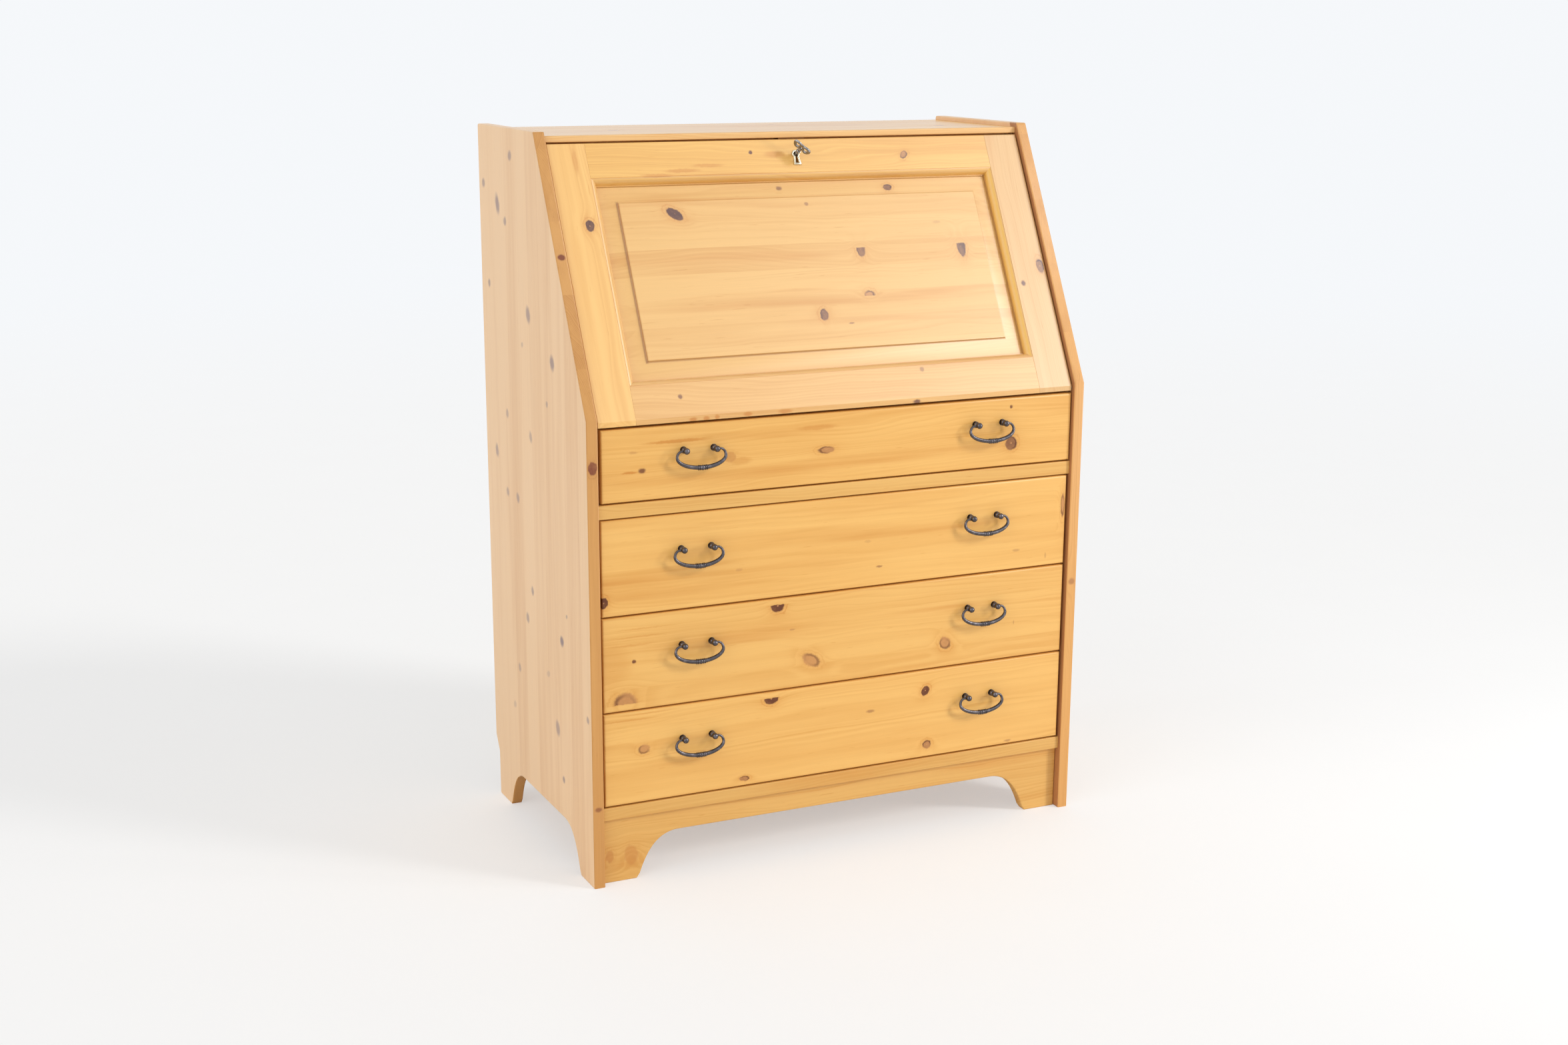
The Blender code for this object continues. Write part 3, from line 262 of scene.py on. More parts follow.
# Places of knots on each board, as (along the first axis, along the second, half length, half width, darkness), and
# for some also the tilt in radians and the levels, in half widths, between which a stave's joint leaves them.
# A darkness below 0 is an amber streak.
# Fronts and the plinth are in width and height, the fall in width and slope, the side in depth and height.
KNOTS = {
    "drawer_1_front": (
        (-0.337, 0.644, 0.007, 0.005, 0.8), (-0.034, 0.651, 0.015, 0.0055, 0.55),
        (0.295, 0.635, 0.011, 0.0115, 0.7), (0.293, 0.694, 0.0035, 0.0035, 0.8),
        (-0.195, 0.653, 0.010, 0.008, 0.15), (-0.350, 0.672, 0.008, 0.0025, 0.3),
        (-0.280, 0.6842, 0.060, 0.0032, -0.60), (-0.356, 0.6425, 0.015, 0.0022, -0.70),
        (-0.178, 0.646, 0.022, 0.007, -0.30), (-0.050, 0.687, 0.040, 0.0045, -0.40),
    ),
    "drawer_2_front": (
        (-0.400, 0.449, 0.007, 0.009, 0.85), (0.397, 0.524, 0.004, 0.020, 0.5),
        (0.061, 0.457, 0.007, 0.0022, 0.6), (0.311, 0.457, 0.008, 0.003, 0.35),
        (0.367, 0.443, 0.002, 0.006, 0.3), (-0.180, 0.477, 0.007, 0.003, 0.25),
        (0.040, 0.499, 0.007, 0.003, 0.2),
    ),
    "drawer_3_front": (
        (-0.115, 0.4125, 0.0118, 0.0098, 0.95, 0.0, -9.0, 0.2), (-0.353, 0.353, 0.004, 0.0038, 0.85),
        (-0.368, 0.2895, 0.0195, 0.0150, 0.52, 0.0, -0.15, 9.0), (-0.057, 0.318, 0.0175, 0.0100, 0.42, 0.45),
        (0.183, 0.3165, 0.0120, 0.0100, 0.5, 0.7), (-0.090, 0.372, 0.006, 0.0018, 0.4),
        (0.311, 0.336, 0.0015, 0.004, 0.4), (-0.362, 0.3790, 0.050, 0.0020, -0.26),
        (-0.345, 0.3915, 0.056, 0.0014, -0.22), (-0.332, 0.4035, 0.060, 0.0013, -0.22),
        (-0.392, 0.350, 0.040, 0.040, -0.16),
    ),
    "drawer_4_front": (
        (-0.125, 0.2635, 0.0125, 0.0090, 0.98, 0.0, -9.0, 0.15), (0.149, 0.240, 0.0092, 0.0070, 0.95, -0.9),
        (-0.339, 0.212, 0.0105, 0.0075, 0.42), (-0.171, 0.139, 0.009, 0.0045, 0.6),
        (0.154, 0.148, 0.009, 0.0075, 0.6), (0.049, 0.219, 0.009, 0.0035, 0.55),
        (0.307, 0.133, 0.008, 0.0025, 0.5), (-0.365, 0.2610, 0.052, 0.0018, -0.25),
        (-0.330, 0.2690, 0.060, 0.0013, -0.22),
    ),
    "plinth": (
        (-0.394, 0.043, 0.007, 0.010, 0.2), (-0.359, 0.040, 0.012, 0.016, 0.15),
    ),
    "fall_left_stile": (
        (-0.360, 0.303, 0.0075, 0.0095, 0.8), (-0.3645, 0.405, 0.0045, 0.024, -0.35),
    ),
    "fall_right_stile": (
        (0.396, 0.205, 0.0075, 0.013, 0.68), (0.358, 0.177, 0.005, 0.006, 0.85),
    ),
    "fall_top_rail": (
        (-0.076, 0.413, 0.004, 0.0042, 0.85), (0.190, 0.403, 0.0085, 0.0058, 0.56, -0.7),
        (-0.238, 0.3790, 0.030, 0.0036, -0.40), (-0.195, 0.3860, 0.034, 0.0040, -0.45),
        (-0.152, 0.3935, 0.030, 0.0036, -0.40), (-0.036, 0.409, 0.020, 0.0070, -0.40),
    ),
    "fall_bottom_rail": (
        (-0.269, 0.031, 0.0048, 0.0045, 0.75), (0.141, 0.046, 0.005, 0.0045, 0.6),
        (0.122, -0.005, 0.008, 0.0035, 0.8), (-0.2545, -0.005, 0.0075, 0.0036, -0.75),
        (-0.233, -0.0045, 0.006, 0.0034, -0.75), (-0.2155, -0.0038, 0.005, 0.0034, -0.70),
        (-0.166, -0.0032, 0.009, 0.0034, -0.75), (-0.104, -0.0036, 0.014, 0.0036, -0.65),
    ),
    "fall_panel": (
        (-0.219, 0.319, 0.0150, 0.0080, 0.9, 0.55), (-0.035, 0.357, 0.0065, 0.005, 0.7),
        (0.155, 0.353, 0.008, 0.006, 0.72), (0.004, 0.328, 0.0045, 0.0033, 0.6),
        (0.082, 0.2495, 0.0082, 0.0135, 0.69, 0.0, -9.0, 0.25),
        (0.262, 0.2470, 0.0080, 0.0190, 0.75, 0.0, -9.0, 0.3),
        (0.081, 0.1735, 0.0100, 0.0085, 0.52, 0.0, -0.1, 9.0), (-0.004, 0.146, 0.008, 0.010, 0.7),
        (0.040, 0.130, 0.006, 0.0018, 0.6), (0.227, 0.290, 0.009, 0.003, 0.25),
    ),
    "left_side": (
        (0.317, 1.083, 0.0055, 0.009, 0.5), (0.452, 1.033, 0.005, 0.009, 0.5),
        (0.384, 1.005, 0.006, 0.019, 0.6), (0.349, 0.981, 0.0045, 0.008, 0.5),
        (0.437, 0.876, 0.004, 0.008, 0.5), (0.248, 0.848, 0.006, 0.016, 0.55),
        (0.280, 0.798, 0.003, 0.005, 0.3), (0.142, 0.789, 0.006, 0.014, 0.6),
        (0.363, 0.676, 0.004, 0.009, 0.4), (0.170, 0.722, 0.003, 0.006, 0.4),
        (0.422, 0.606, 0.005, 0.013, 0.5), (0.250, 0.658, 0.004, 0.011, 0.4),
        (0.372, 0.547, 0.004, 0.009, 0.45), (0.321, 0.547, 0.0045, 0.010, 0.5),
        (0.260, 0.408, 0.004, 0.009, 0.5), (0.287, 0.357, 0.0045, 0.010, 0.5),
        (0.125, 0.361, 0.005, 0.010, 0.7), (0.101, 0.407, 0.0025, 0.004, 0.4),
        (0.335, 0.260, 0.004, 0.009, 0.4), (0.192, 0.290, 0.005, 0.006, 0.2),
        (0.365, 0.188, 0.005, 0.007, 0.2), (0.153, 0.212, 0.006, 0.015, 0.5),
        (0.015, 0.267, 0.0035, 0.007, 0.5), (0.130, 0.134, 0.0035, 0.007, 0.6),
    ),
    "left_edge": (
        (-0.001, 0.655, 0.0065, 0.0105, 0.78), (0.000, 0.128, 0.003, 0.005, 0.75),
        (0.1155, 0.948, 0.004, 0.006, 1.0),
    ),
    "right_edge": (
        (0.000, 0.395, 0.003, 0.007, 0.6),
    ),
    "right_side": (
        (0.330, 1.020, 0.0055, 0.011, 0.6), (0.210, 0.870, 0.005, 0.012, 0.5),
        (0.410, 0.790, 0.006, 0.013, 0.6), (0.110, 0.640, 0.005, 0.010, 0.5),
        (0.280, 0.560, 0.0045, 0.012, 0.6), (0.390, 0.420, 0.005, 0.009, 0.5),
        (0.160, 0.330, 0.006, 0.014, 0.6), (0.300, 0.210, 0.004, 0.009, 0.5),
    ),
    "top_board": (
        (-0.250, 0.330, 0.009, 0.006, 0.6), (0.060, 0.410, 0.008, 0.005, 0.5),
        (0.310, 0.290, 0.009, 0.006, 0.6),
    ),
}


def quads_of_grid(rows, columns, close_rows=False, close_columns=False):
    """Quads between neighbours of a grid whose point (r, c) has the number r * columns + c."""
    r = np.arange(rows if close_rows else rows - 1)[:, None]
    c = np.arange(columns if close_columns else columns - 1)[None, :]
    r1, c1 = (r + 1) % rows, (c + 1) % columns
    corners = (r * columns + c, r * columns + c1, r1 * columns + c1, r1 * columns + c)
    return np.stack(np.broadcast_arrays(*corners), -1).reshape(-1, 4)


def placed(points, place):
    """Local points taken into the model's frame: axes times point, plus origin."""
    return points @ place[:3, :3].T + place[:3, 3]


def grid_shell(points, close_rows, close_columns, caps=True):
    """Points of shape (rows, columns, 3) as (points, faces), with flat caps on the first and last row."""
    rows, columns, _ = points.shape
    faces = quads_of_grid(rows, columns, close_rows, close_columns).tolist()
    if caps:
        first = np.arange(columns)
        faces += [first[::-1].tolist(), (first + (rows - 1) * columns).tolist()]
    return points.reshape(-1, 3), faces


def arc(centre, radius, start, end, steps):
    """Points centre + radius (cos a, sin a), with a running evenly from start to end."""
    a = np.linspace(start, end, steps + 1)
    return np.stack([centre[0] + radius * np.cos(a), centre[1] + radius * np.sin(a)], 1)


def rounded(corners, radius, steps=4):
    """Counterclockwise outline with each corner turned by a circle tangent to its two edges.

    radius is one number or one for each corner. The circle's centre is r / sin(half angle) along the bisector, and
    a point on each edge just past the circle keeps the flat part flat in the shading.
    """
    corners = np.asarray(corners, float)
    radii = np.broadcast_to(radius, len(corners))
    parts = []
    for before, here, after, r in zip(np.roll(corners, 1, 0), corners, np.roll(corners, -1, 0), radii):
        a, b = before - here, after - here
        a, b = a / np.linalg.norm(a), b / np.linalg.norm(b)
        half = 0.5 * math.acos(np.clip(a @ b, -1.0, 1.0))
        if r < 1e-6 or half > 1.55:
            parts.append(here[None])
            continue
        bisector = (a + b) / np.linalg.norm(a + b)
        centre = here + bisector * r / math.sin(half)
        first = here + a * r / math.tan(half) - centre
        last = here + b * r / math.tan(half) - centre
        start = math.atan2(first[1], first[0])
        turn = (math.atan2(last[1], last[0]) - start + math.pi) % (2 * math.pi) - math.pi
        guard = r / math.tan(half) + GUARD * r
        parts += [(here + a * guard)[None], arc(centre, r, start, start + turn, steps), (here + b * guard)[None]]
    return np.concatenate(parts)


def inward(outline):
    """Mitred inward step at each corner of a counterclockwise outline: (n1 + n2) / (1 + n1 . n2)."""
    edge = np.roll(outline, -1, 0) - outline
    normal = np.stack([-edge[:, 1], edge[:, 0]], 1) / np.linalg.norm(edge, axis=1, keepdims=True)
    before = np.roll(normal, 1, 0)
    return (normal + before) / (1.0 + (normal * before).sum(1, keepdims=True))


def board_shell(outline, low, high, ease, place, steps=3):
    """Board of an outline between two levels: its edge is a quarter circle, a straight wall and a quarter circle.

    Ring j is the outline stepped inwards by ease (1 - sin a) at the level ease (1 - cos a) from the face. One more
    ring on each flat part, just past the quarter circle, keeps it flat in the shading.
    """
    a = np.linspace(0.0, np.pi / 2, steps + 1)
    guard = GUARD * ease
    inset = np.concatenate([[ease + guard], ease * (1.0 - np.sin(a)), [0.0]])
    level = np.concatenate([[0.0], ease * (1.0 - np.cos(a)), [ease + guard]])
    insets = np.concatenate([inset, inset[::-1]])
    levels = np.concatenate([low + level, high - level[::-1]])
    flat = outline[None] + insets[:, None, None] * inward(outline)[None]
    height = np.broadcast_to(levels[:, None, None], (len(levels), len(outline), 1))
    return grid_shell(placed(np.concatenate([flat, height], 2), place), False, True)


def lathe_shell(profile, place, turns=28):
    """Profile of (radius, height) pairs turned round the third axis: (r cos t, r sin t, h)."""
    t = np.linspace(0.0, 2 * np.pi, turns, endpoint=False)
    r, h = np.asarray(profile, float).T
    points = np.stack([r[:, None] * np.cos(t), r[:, None] * np.sin(t), np.repeat(h[:, None], turns, 1)], 2)
    return grid_shell(placed(points, place), False, True)


def swept_shell(path, radius, place, sides=18, closed=False, flatten=1.0, lift=0.0):
    """Round bar along a path in the plane of the first two axes, raised along the third by the lift.

    Point = p + lift z + r (n cos t + flatten z sin t), where n is the path's normal in the plane.
    """
    if closed:
        tangent = np.roll(path, -1, 0) - np.roll(path, 1, 0)
    else:
        tangent = np.gradient(path, axis=0)
    tangent /= np.linalg.norm(tangent, axis=1, keepdims=True)
    normal = np.stack([-tangent[:, 1], tangent[:, 0]], 1)
    t = np.linspace(0.0, 2 * np.pi, sides, endpoint=False)
    radius = np.broadcast_to(radius, len(path))[:, None, None]
    flat = path[:, None] + radius * normal[:, None] * np.cos(t)[None, :, None]
    rise = np.broadcast_to(lift, len(path))[:, None, None] + flatten * radius * np.sin(t)[None, :, None]
    return grid_shell(placed(np.concatenate([flat, rise], 2), place), closed, True, caps=not closed)


def in_scene(name, data):
    """Object of a mesh, light or camera, linked to the scene."""
    obj = bpy.data.objects.new(name, data)
    bpy.context.scene.collection.objects.link(obj)
    return obj


def piece(name, shells, finish, body, replaced=(), sharp=35.0, edge=None):
    """Object of closed shells, smooth up to an angle, riding on a body and standing for CAD nodes.

    An edge finish goes on the faces that look to the front.
    """
    points, faces, start = [], [], 0
    for shell_points, shell_faces in shells:
        points.append(shell_points)
        faces += [[start + i for i in face] for face in shell_faces]
        start += len(shell_points)
    mesh = bpy.data.meshes.new(name)
    mesh.from_pydata(np.concatenate(points).tolist(), [], faces)
    outwards(mesh)
    mesh.shade_smooth()
    mesh.set_sharp_from_angle(angle=math.radians(sharp))
    mesh.materials.append(finish)
    if edge:
        mesh.materials.append(edge)
        normals = np.empty(3 * len(mesh.polygons), np.float32)
        mesh.polygons.foreach_get("normal", normals)
        mesh.polygons.foreach_set("material_index", (normals[1::3] < -0.4).astype(np.int32))
    obj = in_scene(name, mesh)
    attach(obj, body)
    if replaced:
        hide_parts(*replaced)
    return obj


def outwards(mesh):
    """Turns every face of closed shells to the outside."""
    bm = bmesh.new()
    bm.from_mesh(mesh)
    bmesh.ops.recalc_face_normals(bm, faces=bm.faces)
    bm.to_mesh(mesh)
    bm.free()


def cut(obj, shell):
    """Takes a closed shell out of a piece and keeps the result as its mesh."""
    points, faces = shell
    mesh = bpy.data.meshes.new("cutter")
    mesh.from_pydata(points.tolist(), [], faces)
    outwards(mesh)
    cutter = in_scene("cutter", mesh)
    modifier = obj.modifiers.new("cut", "BOOLEAN")
    modifier.operation = "DIFFERENCE"
    modifier.solver = "EXACT"
    modifier.object = cutter
    bpy.context.view_layer.update()
    made = bpy.data.meshes.new_from_object(obj.evaluated_get(bpy.context.evaluated_depsgraph_get()))
    obj.modifiers.clear()
    old = obj.data
    made.name = old.name
    obj.data = made
    bpy.data.meshes.remove(old)
    bpy.data.objects.remove(cutter)
    bpy.data.meshes.remove(mesh)


# Shader helpers

VECTOR, COLOUR, VALUE = "NodeSocketVector", "NodeSocketColor", "NodeSocketFloat"


def opaque(colour):
    """Colour with full alpha, as a socket takes it."""
    return (*colour, 1.0)


def connect(tree, node, inputs):
    """Gives a node its inputs, each a value or another node's socket."""
    for key, value in inputs.items():
        if isinstance(value, bpy.types.NodeSocket):
            tree.links.new(value, node.inputs[key])
        else:
            node.inputs[key].default_value = value


def add_node(tree, kind, inputs=None, **settings):
    """Shader node with its settings and its inputs."""
    made = tree.nodes.new(kind)
    for key, value in settings.items():
        setattr(made, key, value)
    connect(tree, made, inputs or {})
    return made


def new_finish(name):
    """New material, its node tree and its surface shader."""
    finish = bpy.data.materials.new(name)
    finish.use_nodes = True
    return finish, finish.node_tree, finish.node_tree.nodes["Principled BSDF"]


def calc(tree, operation, *values, clamp=False):
    """Math node's result."""
    made = add_node(tree, "ShaderNodeMath", dict(enumerate(values)), operation=operation, use_clamp=clamp)
    return made.outputs[0]


def vector_calc(tree, operation, *values, output=0):
    """Vector Math node's result."""
    made = add_node(tree, "ShaderNodeVectorMath", dict(enumerate(values)), operation=operation)
    return made.outputs[output]


def falling(tree, squared, rate):
    """Bell of a squared distance: exp(-rate * squared)."""
    return calc(tree, "POWER", 2.718, calc(tree, "MULTIPLY", squared, -rate))


def parts_of(tree, vector):
    """The three parts of a vector."""
    return add_node(tree, "ShaderNodeSeparateXYZ", {0: vector}).outputs


def ramp(tree, value, low, high, to_low=0.0, to_high=1.0):
    """Smooth step of a value from low to high."""
    made = add_node(
        tree, "ShaderNodeMapRange",
        {"Value": value, "From Min": low, "From Max": high, "To Min": to_low, "To Max": to_high},
        interpolation_type="SMOOTHSTEP",
    )
    return made.outputs[0]


def blend_colour(tree, factor, first, second, mode="MIX"):
    """Second colour laid over the first by a factor."""
    made = add_node(tree, "ShaderNodeMix", {0: factor, 6: first, 7: second}, data_type="RGBA", blend_type=mode)
    return made.outputs[2]


def stretched_noise(tree, vector, scale, detail=2.0, rough=0.5):
    """Noise of a vector scaled by one factor for each axis."""
    made = add_node(
        tree, "ShaderNodeTexNoise",
        {"Vector": vector_calc(tree, "MULTIPLY", vector, scale), "Scale": 1.0, "Detail": detail, "Roughness": rough},
    )
    return made.outputs["Fac"]


def shader_group(name, inputs, outputs):
    """Turns a function that wires a shader group into one that gives the group, wired on its first call.

    inputs holds (label, kind) or (label, kind, default), and outputs (label, kind). The wiring function gets the tree
    and the sockets of the inputs, and returns a socket for each output, in order.
    """
    def built_once(wire):
        @wraps(wire)
        def group():
            if name in bpy.data.node_groups:
                return bpy.data.node_groups[name]
            tree = bpy.data.node_groups.new(name, "ShaderNodeTree")
            for label, kind, *default in inputs:
                socket = tree.interface.new_socket(label, in_out="INPUT", socket_type=kind)
                if default:
                    socket.default_value = default[0]
            for label, kind in outputs:
                tree.interface.new_socket(label, in_out="OUTPUT", socket_type=kind)
            given, result = tree.nodes.new("NodeGroupInput"), tree.nodes.new("NodeGroupOutput")
            for (label, _), socket in zip(outputs, wire(tree, given.outputs)):
                tree.links.new(socket, result.inputs[label])
            return tree

        return group

    return built_once


def use_group(tree, group, inputs):
    """Outputs of a group placed in a tree with its own values."""
    return add_node(tree, "ShaderNodeGroup", inputs, node_tree=group()).outputs


@shader_group(
    "Pine Knot",
    (
        ("Vector", VECTOR), ("Centre", VECTOR), ("Radii", VECTOR), ("Heart", COLOUR), ("Ring", COLOUR),
        ("Amber", COLOUR), ("Darkness", VALUE), ("Tilt", VALUE, 0.0), ("Bottom", VALUE, -9.0), ("Top", VALUE, 9.0),
    ),
    (("Colour", COLOUR), ("Mask", VALUE), ("Halo", VALUE), ("Push", VALUE)),
)
def knot_group(tree, given):
    """One knot: pale wood with an uneven dark rim, or dark right through with a pale pith, in a faint outer ring,
    with streaks and an amber halo round it and the push that bends the growth rings.

    With u = (v - centre) / radii and L = |u| made uneven, the knot fills L < 1, the outer ring is at L = 1.42, and
    halo and push fall off as exp(-|u|^2 / reach^2). A stave's joint can cut it off above Top or below Bottom.
    """
    darkness, centre, radii = given["Darkness"], given["Centre"], given["Radii"]
    away = vector_calc(tree, "SUBTRACT", given["Vector"], centre)
    along, across, _ = parts_of(tree, vector_calc(tree, "DIVIDE", away, radii))
    turned = add_node(
        tree, "ShaderNodeVectorRotate", {"Vector": away, "Angle": given["Tilt"]}, rotation_type="Z_AXIS"
    ).outputs[0]
    unit = vector_calc(tree, "DIVIDE", turned, radii)
    even = vector_calc(tree, "LENGTH", unit, output="Value")
    squared = calc(tree, "MULTIPLY", even, even)
    seat = vector_calc(tree, "MULTIPLY_ADD", centre, (61.0, 83.0, 0.0), unit)
    lumps = stretched_noise(tree, seat, (1.1, 1.1, 1.1), 3.0, 0.6)
    uneven = calc(tree, "MULTIPLY", even, calc(tree, "MULTIPLY_ADD", lumps, 0.6, 0.70))
    chance = add_node(tree, "ShaderNodeTexWhiteNoise", {"Vector": centre}, noise_dimensions="3D").outputs["Color"]
    aside = vector_calc(tree, "SUBTRACT", chance, (0.5, 0.5, 0.5))
    lopsided = vector_calc(tree, "DOT_PRODUCT", aside, unit, output="Value")

    # Colour: dark by age, rim and lumps, paler at the pith
    aged = ramp(tree, darkness, 0.45, 0.85)
    rim = calc(tree, "MULTIPLY_ADD", lopsided, 2.0, 0.78, clamp=True)
    rim = calc(tree, "MULTIPLY", ramp(tree, uneven, 0.46, 0.74), rim)
    rim = calc(tree, "MULTIPLY", rim, ramp(tree, darkness, 0.25, 0.42))
    pith = calc(tree, "MULTIPLY", ramp(tree, even, 0.18, 0.07), calc(tree, "MULTIPLY", aged, 0.8))
    dark = calc(tree, "SUBTRACT", calc(tree, "MAXIMUM", aged, rim), pith)
    dark = calc(tree, "ADD", dark, calc(tree, "MULTIPLY_ADD", lumps, 0.8, -0.42), clamp=True)
    pale = blend_colour(tree, ramp(tree, darkness, 0.15, 0.42), given["Amber"], given["Ring"])
    colour = blend_colour(tree, dark, pale, given["Heart"])

    # Body: the uneven oval between the stave's joints
    above = ramp(tree, calc(tree, "SUBTRACT", across, given["Bottom"]), -0.06, 0.06)
    below = ramp(tree, calc(tree, "SUBTRACT", given["Top"], across), -0.06, 0.06)
    within = calc(tree, "MULTIPLY", above, below)
    full = calc(tree, "MULTIPLY_ADD", darkness, 0.9, 0.42)
    body = calc(tree, "MULTIPLY", calc(tree, "MULTIPLY", ramp(tree, uneven, 1.12, 0.78), full, clamp=True), within)

    # Halo: amber near the knot and along the grain, an outer ring on one side, and spokes
    tail = calc(tree, "MULTIPLY", calc(tree, "MULTIPLY", across, across), -5.0)
    tail = calc(tree, "MULTIPLY_ADD", calc(tree, "MULTIPLY", along, along), -0.13, tail)
    patchy = calc(tree, "MULTIPLY_ADD", lumps, 1.6, -0.45)
    tail = calc(tree, "MULTIPLY", calc(tree, "POWER", 2.718, tail), patchy, clamp=True)
    outer = ramp(tree, calc(tree, "ABSOLUTE", calc(tree, "SUBTRACT", uneven, 1.42)), 0.15, 0.03)
    outer = calc(tree, "MULTIPLY", outer, calc(tree, "MULTIPLY_ADD", lopsided, 1.8, 0.55, clamp=True))
    spokes = vector_calc(tree, "MULTIPLY_ADD", vector_calc(tree, "NORMALIZE", unit), (3.2, 3.2, 0.0), seat)
    spokes = ramp(tree, stretched_noise(tree, spokes, (1.6, 1.6, 1.6), 2.0), 0.50, 0.66)
    streaks = calc(tree, "MULTIPLY", spokes, ramp(tree, uneven, 1.85, 1.0))
    marks = calc(tree, "MULTIPLY_ADD", outer, 0.75, calc(tree, "MULTIPLY", streaks, 0.6))
    halo = calc(tree, "ADD", calc(tree, "MAXIMUM", falling(tree, squared, 0.42), tail), marks)
    halo = calc(tree, "MULTIPLY", halo, calc(tree, "MULTIPLY_ADD", darkness, 0.42, 0.10), clamp=True)
    halo = calc(tree, "MULTIPLY", halo, within)

    push = calc(tree, "MULTIPLY", falling(tree, squared, 0.30), parts_of(tree, radii)[1])
    return colour, body, halo, calc(tree, "MULTIPLY", push, 0.8)


@shader_group(
    "Pine Fleck",
    (("Vector", VECTOR), ("Centre", VECTOR), ("Radii", VECTOR), ("Darkness", VALUE)),
    (("Mask", VALUE),),
)
def fleck_group(tree, given):
    """Small knot: a soft ellipse |(v - centre) / radii| < 1, as a mask."""
    unit = vector_calc(tree, "SUBTRACT", given["Vector"], given["Centre"])
    unit = vector_calc(tree, "DIVIDE", unit, given["Radii"])
    oval = ramp(tree, vector_calc(tree, "LENGTH", unit, output="Value"), 1.15, 0.45)
    strength = calc(tree, "MULTIPLY_ADD", given["Darkness"], 1.1, 0.1)
    return (calc(tree, "MULTIPLY", oval, strength, clamp=True),)


@shader_group(
    "Groove Shade",
    (("Vector", VECTOR), ("Centre", VECTOR), ("Half Size", VECTOR), ("Width", VALUE)),
    (("Mask", VALUE),),
)
def groove_shade_group(tree, given):
    """Painted shade along a rectangle's edge: 1 on the line max(|x| - a, |y - c| - b) = 0, fading with distance.

    It stays off the back of the board.
    """
    away = vector_calc(tree, "ABSOLUTE", vector_calc(tree, "SUBTRACT", given["Vector"], given["Centre"]))
    past_x, past_y, _ = parts_of(tree, vector_calc(tree, "SUBTRACT", away, given["Half Size"]))
    distance = calc(tree, "ABSOLUTE", calc(tree, "MAXIMUM", past_x, past_y))
    line = calc(tree, "SUBTRACT", 1.0, ramp(tree, calc(tree, "DIVIDE", distance, given["Width"]), 0.1, 1.0))
    return (calc(tree, "MULTIPLY", line, ramp(tree, parts_of(tree, given["Vector"])[2], -0.0165, -0.0145)),)


@shader_group("Front Strip", (("Vector", VECTOR), ("Hand", VALUE)), (("Mask", VALUE),))
def strip_group(tree, given):
    """Inner face of a side board beside its front edge, where the edge's stain runs round, with painted shade where it
    stands proud of the fall and the drawers.

    In height x and depth -y the strip is min(depth, (depth - (x - bend) tan) cos) < width, on the inner face.
    """
    slope = math.atan2(DEPTH - TOP_DEPTH, HEIGHT - BEND_Z)
    height, forward, through = parts_of(tree, given["Vector"])
    depth = calc(tree, "MULTIPLY", forward, -1.0)
    climbed = calc(tree, "MULTIPLY", calc(tree, "SUBTRACT", height, BEND_Z), -math.sin(slope))
    slanted = calc(tree, "MULTIPLY_ADD", depth, math.cos(slope), climbed)
    near = ramp(tree, calc(tree, "MINIMUM", depth, slanted), 0.0200, 0.0170)
    inner = ramp(tree, calc(tree, "MULTIPLY", through, given["Hand"]), 0.0072, 0.0082)
    return (calc(tree, "MULTIPLY", near, inner),)


